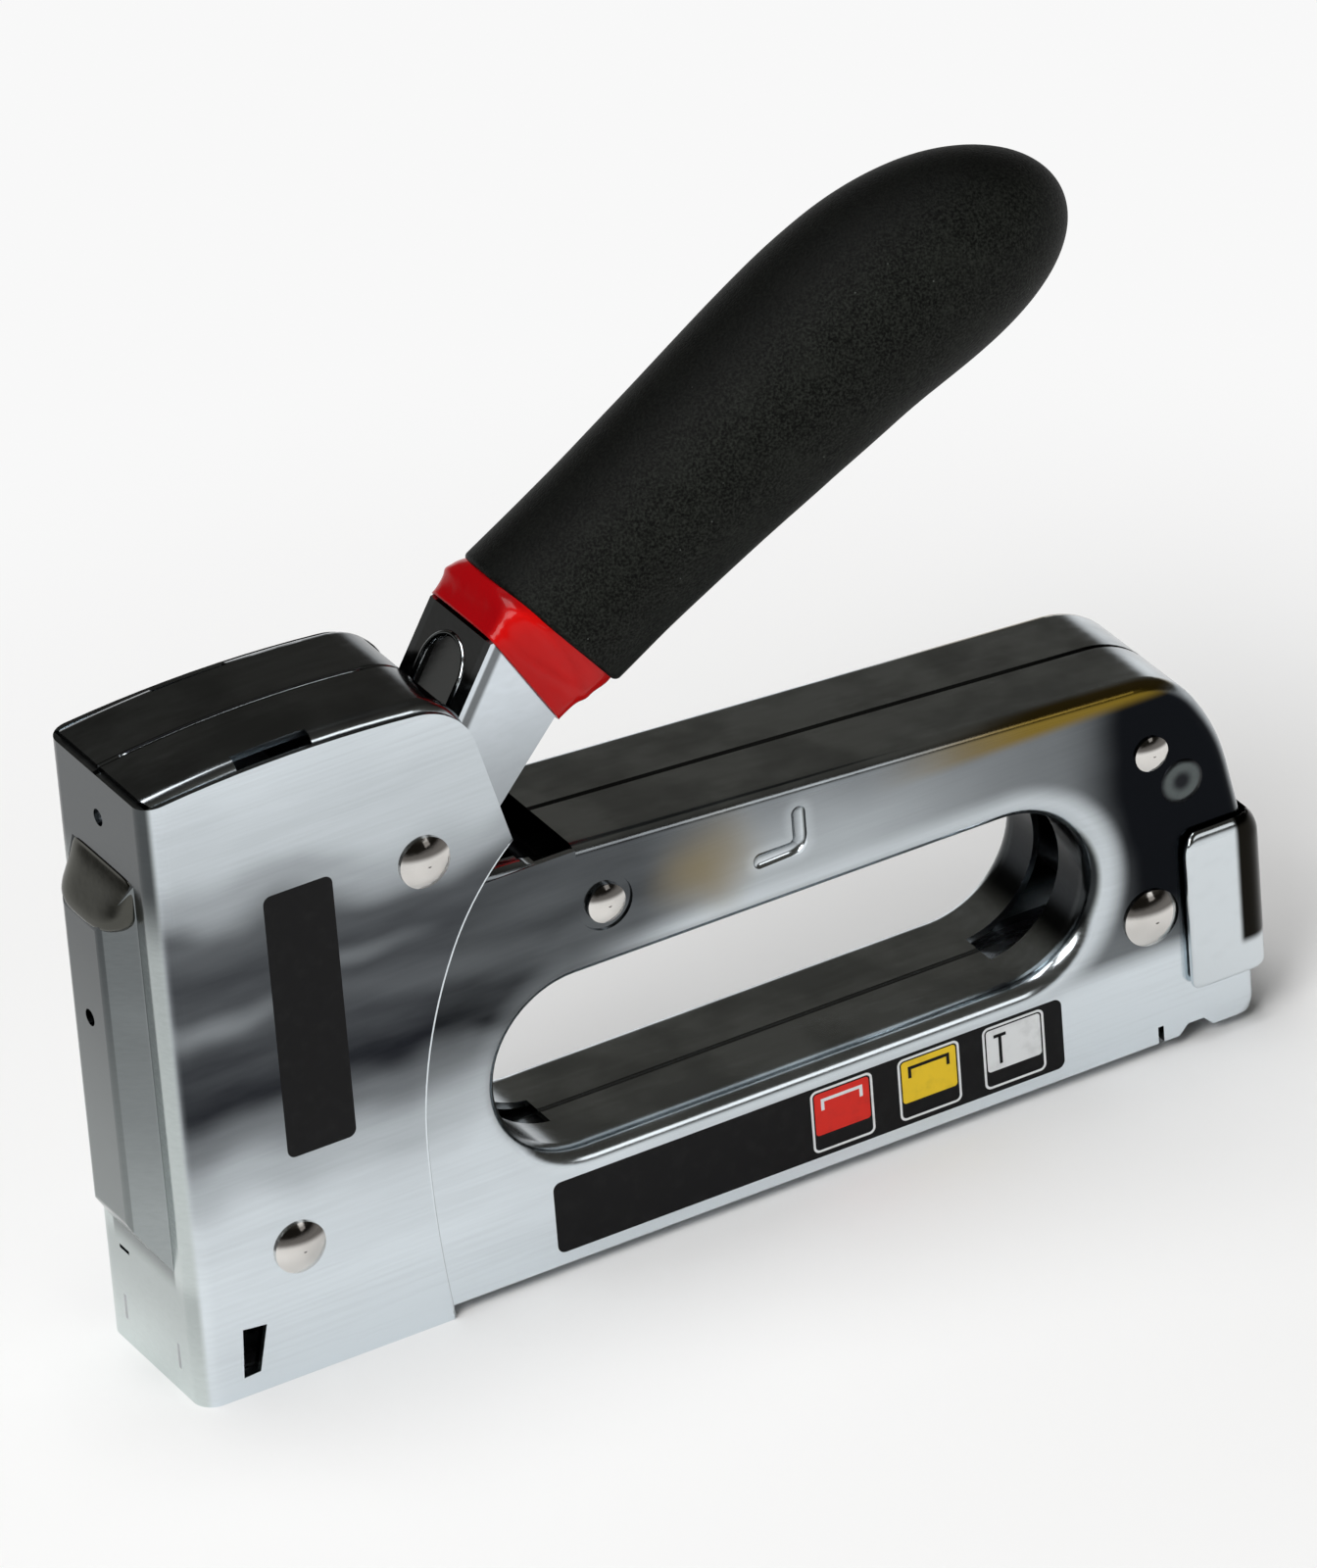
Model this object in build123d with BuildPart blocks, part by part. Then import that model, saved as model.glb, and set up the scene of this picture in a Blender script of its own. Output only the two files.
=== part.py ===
from build123d import *
import os
from math import atan2, cos, degrees, hypot, radians, sin

# Hand staple gun: two pressed half shells, a nose cover, a squeeze lever, a sprung plunger with its
# driver blade, and a magazine that slides out of the rear. Millimetres, +Z up.
# The nose points to -X, and the halves meet on the plane Y = 0.
# The origin is on the foot's pressing face, at the back edge of the slot that the staple leaves by.

os.makedirs("parts", exist_ok=True)

# ---------------------------------------------------------------- driving dimensions
# Housing
shell_half = 12.9  # half the width over the shells
wall = 1.0  # shell sheet
roll_r = 2.2  # rolled edges of the arm and the rear
seam_edge = 0.3  # broken edges of the flanges where the halves meet
hole_roll_r = 3.2  # rolled edge of the finger opening
head_edge_r = 2.1  # pressed edges of the head, under the nose cover
cover_sheet = 0.9  # nose cover sheet
cover_corner_r = 3.0  # vertical front corners of the nose cover
air = 0.3  # between faces that move past each other

front_x = -4.0  # front face of the nose cover
rear_x = 166.4  # rear face of the shells
body_bottom = 1.6  # underside of the shells above the foot's face
rear_corner_r = 4.5
head_crown_z = 97.1  # top of the head at its middle
head_front_z = 95.4
head_rear_z = 96.2
head_crown_x = 19.0
head_round_r = 8.0
head_round_x = 38.0  # where the round shoulder starts
head_foot = (50.6, 71.2)  # where the head's rear edge meets the lever's pocket
head_lean_x = 4.3  # how far the head's rear edge leans forward at the top
pocket_z = 65.4
pocket_corner_r = 3.0
pocket_lean_x = 1.6  # how far the pocket's front edge leans back
arm_front_x = 60.4
arm_front_z = 65.9
arm_lip = 6.1  # depth of the lip at the front of the arm's top
arm_rear = (156.0, 59.5)
arm_round_r = 13.0
rear_upper_r = 30.0  # bends of the rear edge
rear_lower_r = 12.0
rear_break = (163.2, 48.0)  # where the leaning rear edge starts
rear_top_z = 31.0

# Finger opening
grip_hole_front = 45.9
grip_hole_rear = 141.0
grip_hole_low = 18.3
grip_hole_high = 45.2
relief_half = 3.4  # gap between the two flanges round each end of the opening
relief_reach = 12.0  # how far that gap reaches round each end
top_recess_x = 11.0
top_recess_length = 11.5
tail_slit_x = 149.8
tail_slit = 0.9
tail_slit_depth = 2.6
tail_scallop_x = 153.2
tail_scallop = 5.6
tail_scallop_depth = 1.5
dent_path = ((95.1, 58.9), (95.1, 53.8), (88.7, 53.5))
dent_r = 1.35
dent_depth = 0.6
dent_bend_r = 1.8
hole_play = 0.05  # round the rivets' shanks in the sheet
lever_slot_half = 10.4
lever_slot_x = 43.0
front_slot_half = 10.0
front_slot_top = 84.0

# Nose cover, with its boss over the plunger's rivets
cover_top_drop = 0.9  # how far the front of the cover's top edge lies below the head's top
cover_crown_drop = 1.2  # and its sides
cover_waist = (33.5, 28.0)
cover_shoulder = (40.2, 57.6)
cover_heel_x = 35.3
boss_depth = 4.3
boss_half = 8.7
boss_flat_half = 5.0
boss_low = 20.0
boss_high = 81.0
boss_ramp = 7.0
boss_edge_r = 1.6
sight_hole_r = 1.25
upper_sight_z = 87.7
lower_sight_z = 57.9
side_window = ((3.0, 10.6), (6.7, 10.2), (5.1, 3.2), (2.5, 3.0))
nose_slit_y = 6.3
nose_slit_z = 16.0
nose_slit = (2.7, 0.6)
guide_tab_y = 7.7
guide_tab_z = 6.0
guide_tab = (0.7, 4.0)

# Rivets: x, z, head radius, shank radius
pivot = (37.0, 72.6)
pivot_head_r = 3.85
pivot_r = 3.0
nose_rivet = (12.8, 20.4)
nose_head_r = 3.9
arm_rivet = (64.4, 55.8)
arm_head_r = 2.9
heel_rivet = (151.3, 48.4)
heel_head_r = 2.65
tail_rivet = (149.7, 22.4)
tail_head_r = 4.35
shank_r = 2.0
head_height = 0.42  # head height as a share of its radius
head_rim = 0.35  # height of the head's straight rim
spacer_sheet = 1.1
dimple_r = 4.2  # pressed ring round the arm rivet
dimple_depth = 0.35

# Lever
lever_half = 8.3
lever_sheet = 1.5
pin_play = 0.06  # running fit on the pivot rivet
bush_sheet = 1.2
neck_top = (47.8, 90.4)
neck_top_bend = (52.7, 98.3)
neck_low_bend = (62.0, 84.6)
neck_low_deg = 48.5
neck_low_offset = 10.66  # from the pivot to the neck's rear edge, and the hub's radius
web_slot_half = 5.0
web_slot_top = 7.0  # above the head's rear corner, along the neck
web_low = 6.0  # how far the web reaches down into the head
washer_r = 6.0
grip_start = (64.6, 94.3)
grip_deg = 30.5
grip_bend_deg = 24.0  # how much the grip's axis flattens towards its tip
grip_straight = 54.0
grip_bend_length = 30.0
tang_thick = 12.0
tang_length = 66.0
sleeve_sheet = 1.2
sleeve_edge_r = 3.0
sleeve_show = 7.4  # length of sleeve seen before the grip
sleeve_flare = 12.6  # half the flare's width at the grip
grip_cut_deg = 8.0  # the front end is cut this far out of square
# Distance from the start, radius, and how far the centre shifts to the upper side
grip_sections = (
    (-4.0, 13.3, 0), (8.0, 13.3, 0), (20.0, 13.45, 0), (32.0, 13.8, 0), (44.0, 14.4, -0.15),
    (56.0, 14.85, -0.5), (68.0, 14.75, -0.6), (80.0, 12.75, -0.6), (88.0, 9.3, -0.6),
)
grip_tip = (82.9, 10.6, -0.6)
arm_reach = 27.0  # from the pivot forward to the lift stud
arm_tip_r = 3.0
squeeze_deg = 25.0
stud_r = 2.5
return_wire = 1.3
return_turns = 4.0
return_leg = 9.0

# Plunger, blade and power spring
blade_sheet = 1.2
blade_half = 5.9
blade_rear_x = -0.35
blade_tip_z = 0.4
blade_top_z = 58.0
plate_sheet = 1.5
plunger_half = 6.9
plunger_base_x = 18.0
plunger_base_half = 8.6
plunger_corner_r = 3.0
plunger_low = 29.4
plunger_seat = 33.6
shelf_side_gap = 0.6  # from the shelf and the lift studs to the shells
shelf_length = 14.0
shelf_sheet = 2.6
shelf_play = 0.2  # above the lift studs
blade_rivet_r = 1.8
blade_rivet_head_r = 2.9
blade_rivet_high = 1.1
blade_rivet_z = (40.0, 52.0)
spring_x = 10.0
spring_r = 4.9  # to the middle of the wire
spring_wire = 2.0
spring_turns = 9.0
seat_low = 91.3
seat_sheet = 2.0
seat_front = 2.0
seat_rear = 18.0
seat_drop = 6.0
bumper_front = 3.0
bumper_rear = 22.0
touch_gap = 0.1  # between the plunger at rest and its bumper

# Magazine
house_half = 7.4
house_sheet = 0.9
house_top = 16.6
house_lip = 4.1
house_rear = 146.0
flange_half = 8.0  # half the slot between the shells' bottom flanges
foot_rear = 34.4
foot_slot = (-1.75, -0.1)
foot_slot_half = 6.4
guide_half = 9.0
guide_top = 18.0
rail_half = 4.7
rail_sheet = 0.9
rail_high = 13.2
rail_front = 0.3
rod_r = 1.5
rod_z = 8.2
rod_play = 0.08
pusher_length = 14.0
pusher_sheet = 1.2
pusher_skirt_z = 6.0
pusher_block_z = 5.0
push_spring_r = 2.3
push_wire = 0.55
push_turns = 30.0
cap_gap = 0.4  # between the cap and the shells
cap_front = 155.0
cap_rear = 168.3
cap_low = 9.0
cap_high = 35.2
cap_sheet = 1.4
cap_edge_r = 3.6  # domed edges of its top and rear
cap_top_r = 5.0

# ---------------------------------------------------------------- derived places
shell_front = front_x + cover_sheet
cover_half = shell_half + cover_sheet
inside_half = shell_half - wall
inside_low = body_bottom + wall
lever_inner = lever_half - lever_sheet
shelf_half = inside_half - shelf_side_gap
tip_drop = arm_reach * sin(radians(squeeze_deg / 2)) / cos(radians(squeeze_deg / 2))
stud_at = (pivot[0] - arm_reach, pivot[1] - tip_drop)
shelf_low = stud_at[1] + stud_r + shelf_play
grip_hole_r = (grip_hole_high - grip_hole_low) / 2
grip_hole_z = (grip_hole_high + grip_hole_low) / 2
neck_deg = degrees(atan2(neck_top_bend[1] - neck_top[1], neck_top_bend[0] - neck_top[0]))
plate_rear_x = blade_rear_x + plate_sheet
rail_low = body_bottom + air
cap_inner_x = rear_x + cap_gap
cap_half = shell_half + cap_gap + cap_sheet
pusher_front = rail_front + rail_sheet + air
pusher_rear = pusher_front + pusher_length


def side_plane(y):
    """A sketch plane whose x and y are the gun's X and Z, facing -Y, at this Y."""
    return Plane((0, y, 0), x_dir=(1, 0, 0), z_dir=(0, -1, 0))


def along(start, angle_deg, length, aside=0.0):
    """A point along a direction in the XZ plane, and aside to its left."""
    c, s = cos(radians(angle_deg)), sin(radians(angle_deg))
    return (start[0] + length * c - aside * s, start[1] + length * s + aside * c)


def tag(piece, name):
    """Names a finished piece and writes it."""
    piece.part.label = name
    export_step(piece.part, f"parts/{name}.step")


# ---------------------------------------------------------------- outlines in the XZ plane
below = body_bottom - roll_r  # the rolled block reaches this low, and is cut off flat at the underside
head_mid_x = 41.0  # the head's block ends here below the lever's pocket
arm_start_x = head_mid_x / 2  # the arm's block starts here, inside the head


def arm_top_z(x):
    """Height of the arm's top, which falls slowly towards the rear."""
    return arm_front_z + (arm_rear[1] - arm_front_z) * (x - arm_front_x) / (arm_rear[0] - arm_front_x)


def grip_hole(extra):
    """Cuts the finger opening, grown by extra, from the sketch being drawn."""
    length = grip_hole_rear - grip_hole_front - 2 * grip_hole_r
    with Locations(((grip_hole_front + grip_hole_rear) / 2, grip_hole_z)):
        SlotCenterToCenter(length, 2 * (grip_hole_r + extra), mode=Mode.SUBTRACT)


head_rear_top = (head_foot[0] - head_lean_x, head_rear_z - head_round_r)


def on_grip_hole(point):
    """Whether a point on the side lies on the rim of the finger opening."""
    beside = abs(point.Z - grip_hole_z) < grip_hole_r + wall + touch_gap
    return beside and grip_hole_front - wall < point.X < grip_hole_rear + wall


def head_outline():
    """The head's outline: front, crowned top, round shoulder and leaning rear edge."""
    with BuildLine() as outline:
        Line((shell_front, below), (shell_front, head_front_z))
        crown = ThreePointArc(
            (shell_front, head_front_z), (head_crown_x, head_crown_z), (head_round_x, head_rear_z)
        )
        TangentArc(crown @ 1, head_rear_top, tangent=crown % 1)
        Polyline(
            head_rear_top, head_foot, (head_mid_x, pocket_z - 2 * pocket_corner_r), (head_mid_x, below),
            (shell_front, below),
        )
    return outline.line


def cover_outline():
    """The nose cover's side: down the front, back along the foot, up the swept rear edge."""
    top_front = (front_x, head_front_z - cover_top_drop)
    top_mid = (head_crown_x, head_crown_z - cover_crown_drop)
    top_rear = (head_round_x, head_rear_z - cover_crown_drop)
    with BuildLine() as outline:
        Polyline(top_front, (front_x, 0), (cover_heel_x, 0))
        lower = TangentArc(cover_waist, (cover_heel_x, 0), tangent=(0, -1))
        upper = TangentArc(cover_waist, cover_shoulder, tangent=(0, 1))
        TangentArc(cover_shoulder, head_foot, tangent=upper % 1)
        Line(head_foot, head_rear_top)
        crown = ThreePointArc(top_front, top_mid, top_rear)
        TangentArc(top_rear, head_rear_top, tangent=crown % 1)
    return outline.line


def boss_block(inset):
    """The boss on the cover's front, or its hollow inset within the sheet."""
    face_x = front_x + inset
    low, high = boss_low + inset, boss_high - inset
    with BuildPart() as boss:
        foot = (face_x, boss_half - inset, 0)
        crest = (face_x - boss_depth, boss_flat_half - inset / 2, boss_ramp)
        for x, half, ramp in (foot, crest):
            with BuildSketch(Plane((x, 0, (low + high) / 2), x_dir=(0, -1, 0), z_dir=(-1, 0, 0))):
                Rectangle(2 * half, high - low - 2 * ramp)
        loft()
    return boss.part


def outer_edges(piece, low, high):
    """Edges on a block's outer face whose middle lies in a box of the XZ plane."""
    chosen = piece.edges().group_by(Axis.Y)[0]
    return chosen.filter_by(
        lambda e: low[0] < e.center().X < high[0] and low[1] < e.center().Z < high[1]
    )


def shell_block(inset):
    """The left shell's outside as a solid block, or what lies inset within its sheet."""
    half = shell_half - inset
    with BuildPart() as arm:
        with BuildSketch(side_plane(0)):
            with BuildLine():
                FilletPolyline(
                    (arm_start_x, below), (arm_start_x, arm_top_z(arm_start_x)),
                    arm_rear, rear_break, (rear_x, rear_top_z), (rear_x, below),
                    radius=(0, 0, arm_round_r, rear_upper_r, rear_lower_r, rear_corner_r), close=True,
                )
            make_face()
            offset(amount=-inset)
            grip_hole(inset)
        extrude(amount=half)
        rims = outer_edges(arm, (arm_start_x + inset + 0.1, below + inset + 0.1), (rear_x, head_crown_z))
        hole_rim = rims.filter_by(lambda e: on_grip_hole(e.center()))
        fillet(hole_rim, hole_roll_r - inset)
        fillet(ShapeList(rim for rim in rims if rim not in hole_rim), roll_r - inset)
    with BuildPart() as head:
        with BuildSketch(side_plane(0)):
            with BuildLine():
                add(head_outline())
            make_face()
            offset(amount=-inset)
        extrude(amount=half)
        edges = outer_edges(head, (front_x, below + inset + 0.1), (head_foot[0], head_crown_z + 1))
        fillet(edges.filter_by(lambda e: e.center().X < head_mid_x - 3 or e.center().Z > head_foot[1]),
               head_edge_r - inset)
    with BuildPart() as block:
        add(arm.part)
        add(head.part)
        split(bisect_by=Plane.XY.offset(body_bottom + inset), keep=Keep.TOP)
    return block.part


def prism(outline, low_y, high_y):
    """Closed outline in X and Z made solid between two values of Y."""
    with BuildPart() as solid:
        with BuildSketch(side_plane(high_y)):
            with BuildLine():
                Polyline(*outline, close=True)
            make_face()
        extrude(amount=high_y - low_y)
    return solid.part


def box_between(low, high, mode=Mode.ADD):
    """A box from its lowest to its highest corner."""
    middle = [(a + b) / 2 for a, b in zip(low, high)]
    size = [b - a for a, b in zip(low, high)]
    with Locations(tuple(middle)):
        Box(*size, mode=mode)


with BuildPart() as outside:
    add(shell_block(0))
    # The flanges' edges are broken where the halves meet, which leaves a fine groove
    chamfer(outside.faces().group_by(Axis.Y)[-1].edges(), seam_edge)
inside = shell_block(wall)
rivets = (
    (nose_rivet, shank_r),
    (arm_rivet, shank_r),
    (heel_rivet, shank_r),
    (tail_rivet, shank_r),
    (pivot, pivot_r),
)

# ---------------------------------------------------------------- pressed half shells
with BuildPart() as shell_left:
    add(outside.part)
    # The side of the lever's pocket stays flat up to its cut edge
    box_between((head_mid_x, -shell_half, pocket_z - roll_r - 1), (arm_front_x, 0, pocket_z))
    add(inside, mode=Mode.SUBTRACT)
    box_between(
        (head_mid_x - 1, -inside_half, pocket_z - roll_r - 2), (arm_front_x, 0, pocket_z), mode=Mode.SUBTRACT
    )
    with BuildSketch(side_plane(0)):
        with BuildLine():
            FilletPolyline(
                head_foot, (head_foot[0] + pocket_lean_x, pocket_z), (arm_front_x, pocket_z),
                (arm_front_x, head_front_z), (head_foot[0], head_front_z),
                radius=(0, pocket_corner_r, 0, 0, 0), close=True,
            )
        make_face()
    extrude(amount=shell_half + 1, mode=Mode.SUBTRACT)
    # Lip turned down from the front of the arm's top
    lip_high = (arm_front_x + wall, 0, arm_front_z - wall / 2)
    box_between((arm_front_x, -lever_slot_half, arm_front_z - arm_lip), lip_high)
    # Way out for the lever at the back of the head
    box_between(
        (lever_slot_x, -lever_slot_half, pocket_z), (arm_front_x, 0, head_crown_z + 1), mode=Mode.SUBTRACT
    )
    # Open front behind the nose cover, open underside and the magazine's way out at the rear
    front_high, rear_high = (shell_front + wall + 1, 0, front_slot_top), (rear_x + 1, 0, house_top + air)
    box_between((shell_front - 1, -front_slot_half, 0), front_high, mode=Mode.SUBTRACT)
    box_between((shell_front - 1, -flange_half, 0), (rear_x + 1, 0, inside_low), mode=Mode.SUBTRACT)
    box_between((rear_x - rear_corner_r, -flange_half, 0), rear_high, mode=Mode.SUBTRACT)
    # Relief where the flanges turn round the ends of the finger opening
    for end_x, inward in ((grip_hole_front, 1), (grip_hole_rear, -1)):
        reach = (end_x - 2 * wall * inward, end_x + relief_reach * inward)
        box_between(
            (min(reach), -relief_half, grip_hole_low - 2 * wall), (max(reach), 0, grip_hole_high + 2 * wall),
            mode=Mode.SUBTRACT,
        )
    # Long recesses in the head's top beside the nose cover
    box_between(
        (top_recess_x, -shell_half, head_crown_z - head_edge_r), (top_recess_x + top_recess_length,
        -shell_half + head_edge_r, head_crown_z + 1), mode=Mode.SUBTRACT,
    )
    # Notches in the lower edge near the rear
    box_between((tail_slit_x, -shell_half, 0), (tail_slit_x + tail_slit, 0, body_bottom + tail_slit_depth),
                mode=Mode.SUBTRACT)
    scallop = (
        (tail_scallop_x, body_bottom - 1), (tail_scallop_x, body_bottom),
        (tail_scallop_x + tail_scallop_depth, body_bottom + tail_scallop_depth),
        (tail_scallop_x + tail_scallop - tail_scallop_depth, body_bottom + tail_scallop_depth),
        (tail_scallop_x + tail_scallop, body_bottom), (tail_scallop_x + tail_scallop, body_bottom - 1),
    )
    for outline in (scallop, side_window):
        add(prism(outline, -shell_half - 1, 0), mode=Mode.SUBTRACT)
    for place, radius in rivets:
        with BuildSketch(side_plane(0)):
            with Locations(place):
                Circle(radius + hole_play)
        extrude(amount=shell_half + 1, mode=Mode.SUBTRACT)
    # Pressed ring round the arm's front rivet, and the hook-shaped dent beside it
    with BuildSketch(side_plane(-shell_half)):
        with Locations(arm_rivet):
            Circle(dimple_r)
            Circle(arm_head_r, mode=Mode.SUBTRACT)
    extrude(amount=-dimple_depth, taper=0, mode=Mode.SUBTRACT)
    with BuildLine(side_plane(-shell_half - dent_r + dent_depth)) as dent:
        FilletPolyline(*dent_path, radius=dent_bend_r)
    with BuildSketch(Plane(origin=dent.line @ 0, z_dir=dent.line % 0)):
        Circle(dent_r)
    sweep(path=dent.line, mode=Mode.SUBTRACT)
    for end in (dent.line @ 0, dent.line @ 1):
        with Locations(end):
            Sphere(dent_r, mode=Mode.SUBTRACT)
tag(shell_left, "shell_left")

with BuildPart() as shell_right:
    add(shell_left.part)
    mirror(about=Plane.XZ, mode=Mode.REPLACE)
tag(shell_right, "shell_right")

# ---------------------------------------------------------------- nose
with BuildPart() as nose_cover:
    with BuildSketch(side_plane(0)):
        with BuildLine():
            add(cover_outline())
        make_face()
    extrude(amount=cover_half, both=True)
    fillet(nose_cover.edges().filter_by(Axis.Z).group_by(Axis.X)[0], cover_corner_r)
    add(boss_block(0))
    fillet(nose_cover.faces().sort_by(Axis.X)[0].edges(), boss_edge_r)
    box_between(
        (shell_front, -shell_half, -1), (head_foot[0] + 1, shell_half, head_crown_z), mode=Mode.SUBTRACT
    )
    add(boss_block(cover_sheet), mode=Mode.SUBTRACT)
    with BuildSketch(Plane((front_x - boss_depth - 1, 0, 0), x_dir=(0, 1, 0), z_dir=(1, 0, 0))):
        with Locations((0, upper_sight_z), (0, lower_sight_z)):
            Circle(sight_hole_r)
        with Locations((nose_slit_y, nose_slit_z)):
            Rectangle(*nose_slit)
        with Locations((-guide_tab_y, guide_tab_z), (guide_tab_y, guide_tab_z)):
            Rectangle(*guide_tab)
    extrude(amount=boss_depth + 2 * cover_sheet + 1, mode=Mode.SUBTRACT)
    for place, radius in ((nose_rivet, shank_r), (pivot, pivot_r)):
        with BuildSketch(side_plane(0)):
            with Locations(place):
                Circle(radius + hole_play)
        extrude(amount=cover_half + 1, both=True, mode=Mode.SUBTRACT)
    add(prism(side_window, -cover_half - 1, cover_half + 1), mode=Mode.SUBTRACT)
tag(nose_cover, "nose_cover")

with BuildPart() as nose_guide:
    box_between((shell_front, -guide_half, body_bottom), (foot_slot[0], guide_half, guide_top))
    for side in (-1, 1):
        box_between(
            (front_x, side * guide_tab_y - guide_tab[0] / 2, guide_tab_z - guide_tab[1] / 2),
            (shell_front, side * guide_tab_y + guide_tab[0] / 2, guide_tab_z + guide_tab[1] / 2),
        )
tag(nose_guide, "nose_guide")

with BuildPart() as nose_foot:
    box_between((shell_front, -shell_half, 0), (foot_rear, shell_half, body_bottom))
    box_between(
        (foot_slot[0], -foot_slot_half, 0), (foot_slot[1], foot_slot_half, body_bottom), mode=Mode.SUBTRACT
    )
tag(nose_foot, "nose_foot")

# ---------------------------------------------------------------- rivets, spacers and washers
for name, place, shank, head, seat in (
    ("pivot_rivet", pivot, pivot_r, pivot_head_r, cover_half),
    ("nose_rivet", nose_rivet, shank_r, nose_head_r, cover_half),
    ("arm_rivet", arm_rivet, shank_r, arm_head_r, shell_half),
    ("heel_rivet", heel_rivet, shank_r, heel_head_r, shell_half),
    ("tail_rivet", tail_rivet, shank_r, tail_head_r, shell_half),
):
    with BuildPart() as rivet:
        with BuildSketch(Plane((place[0], 0, place[1]))):
            with BuildLine():
                top = seat + head * head_height
                Polyline((0, top), (0, 0), (shank, 0), (shank, seat), (head, seat), (head, seat + head_rim))
                TangentArc((0, top), (head, seat + head_rim), tangent=(1, 0))
            make_face()
        revolve(axis=Axis((place[0], 0, place[1]), (0, 1, 0)))
        mirror(about=Plane.XZ)
    tag(rivet, name)

for name, place in (
    ("nose_spacer", nose_rivet), ("arm_spacer", arm_rivet),
    ("heel_spacer", heel_rivet), ("tail_spacer", tail_rivet),
):
    with BuildPart() as spacer:
        with BuildSketch(side_plane(0)):
            with Locations(place):
                Circle(shank_r + hole_play + spacer_sheet)
                Circle(shank_r + hole_play, mode=Mode.SUBTRACT)
        extrude(amount=inside_half, both=True)
    tag(spacer, name)

for name, side in (("left", 1), ("right", -1)):
    with BuildPart() as washer:
        with BuildSketch(side_plane(-side * inside_half)):
            with Locations(pivot):
                Circle(washer_r)
                Circle(pivot_r + hole_play, mode=Mode.SUBTRACT)
        extrude(amount=-side * (inside_half - lever_half - air))
    tag(washer, f"pivot_washer_{name}")

# ---------------------------------------------------------------- fixed inside the nose
with BuildPart() as bumper:
    bumper_top = plunger_low - touch_gap
    box_between((bumper_front, -inside_half, nose_rivet[1]), (bumper_rear, inside_half, bumper_top))
    with BuildSketch(side_plane(0)):
        with Locations(nose_rivet):
            Circle(shank_r + hole_play + spacer_sheet)
    extrude(amount=inside_half, both=True, mode=Mode.SUBTRACT)
tag(bumper, "bumper")

with BuildPart() as spring_seat:
    box_between((seat_front, -inside_half, seat_low), (seat_rear, inside_half, seat_low + seat_sheet))
    with BuildSketch(Plane.XY.offset(seat_low)):
        with Locations((spring_x, 0)):
            Circle(spring_r - spring_wire / 2 - air)
    extrude(amount=-seat_drop)
tag(spring_seat, "spring_seat")

with BuildPart() as power_spring:
    with BuildLine() as wire:
        rise = seat_low - plunger_seat - spring_wire
        Helix(rise / spring_turns, rise, spring_r, center=(spring_x, 0, plunger_seat + spring_wire / 2))
    with BuildSketch(Plane(origin=wire.line @ 0, z_dir=wire.line % 0)):
        Circle(spring_wire / 2)
    sweep(path=wire.line)
tag(power_spring, "power_spring")

# ---------------------------------------------------------------- lever
hub_foot = along(pivot, neck_low_deg, 0, -neck_low_offset)
tang_top = along(grip_start, grip_deg, 0, tang_thick / 2)
tang_low = along(grip_start, grip_deg, 0, -tang_thick / 2)
web_start = along(neck_top, neck_deg, -web_low)
neck_outline = (
    pivot, along(neck_top, neck_deg, -2 * web_low), neck_top_bend, tang_top,
    along(tang_top, grip_deg, tang_length), along(tang_low, grip_deg, tang_length), tang_low,
    neck_low_bend, hub_foot,
)


def lever_block():
    """The lever's side made solid over its whole width, hub, arms, neck and tang."""
    with BuildPart() as block:
        with BuildSketch(side_plane(0)):
            with Locations(pivot):
                Circle(neck_low_offset)
            with Locations(stud_at):
                Circle(arm_tip_r)
            make_hull()
            with BuildLine():
                Polyline(*neck_outline, close=True)
            make_face()
        extrude(amount=lever_half, both=True)
    return block.part


with BuildPart() as lever:
    add(lever_block())
    # The inside of the pressed channel: walls at the sides, on top and at the tip, open below
    with BuildSketch(side_plane(0)):
        with BuildLine():
            Polyline(*neck_outline, close=True)
        make_face()
        offset(amount=-lever_sheet, kind=Kind.INTERSECTION)
    extrude(amount=lever_inner, both=True, mode=Mode.SUBTRACT)
    neck_middle = ((neck_top_bend[0] + neck_low_bend[0]) / 2, (neck_top_bend[1] + neck_low_bend[1]) / 2)
    tip = along(grip_start, grip_deg, tang_length + 5)
    open_side = (
        along(web_start, neck_deg, 0, 5), along(web_start, neck_deg, 0, -neck_low_offset), neck_middle, tip,
        along(tip, grip_deg, 0, -tang_thick), (tip[0], 0), (front_x, 0), (front_x, head_crown_z),
    )
    add(prism(open_side, -lever_inner, lever_inner), mode=Mode.SUBTRACT)
    # Slot up the middle of the web, with a round end
    slot_end = along(neck_top, neck_deg, web_slot_top - web_slot_half)
    slot_dir = (cos(radians(neck_deg)), 0, sin(radians(neck_deg)))
    slot_plane = Plane((slot_end[0], 0, slot_end[1]), x_dir=slot_dir, z_dir=(-slot_dir[2], 0, slot_dir[0]))
    with BuildSketch(slot_plane):
        Circle(web_slot_half)
        with Locations((-web_low, 0)):
            Rectangle(2 * web_low + web_slot_half, 2 * web_slot_half)
    extrude(amount=2 * lever_sheet, both=True, mode=Mode.SUBTRACT)
    with BuildSketch(side_plane(0)):
        with Locations(pivot):
            Circle(pivot_r + pin_play)
    extrude(amount=lever_half, both=True, mode=Mode.SUBTRACT)
tag(lever, "lever")

for name, side in (("left", 1), ("right", -1)):
    with BuildPart() as stud:
        with BuildSketch(side_plane(-side * lever_half)):
            with Locations(stud_at):
                Circle(stud_r)
        extrude(amount=side * (shelf_half - lever_half))
    tag(stud, f"lift_stud_{name}")

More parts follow.
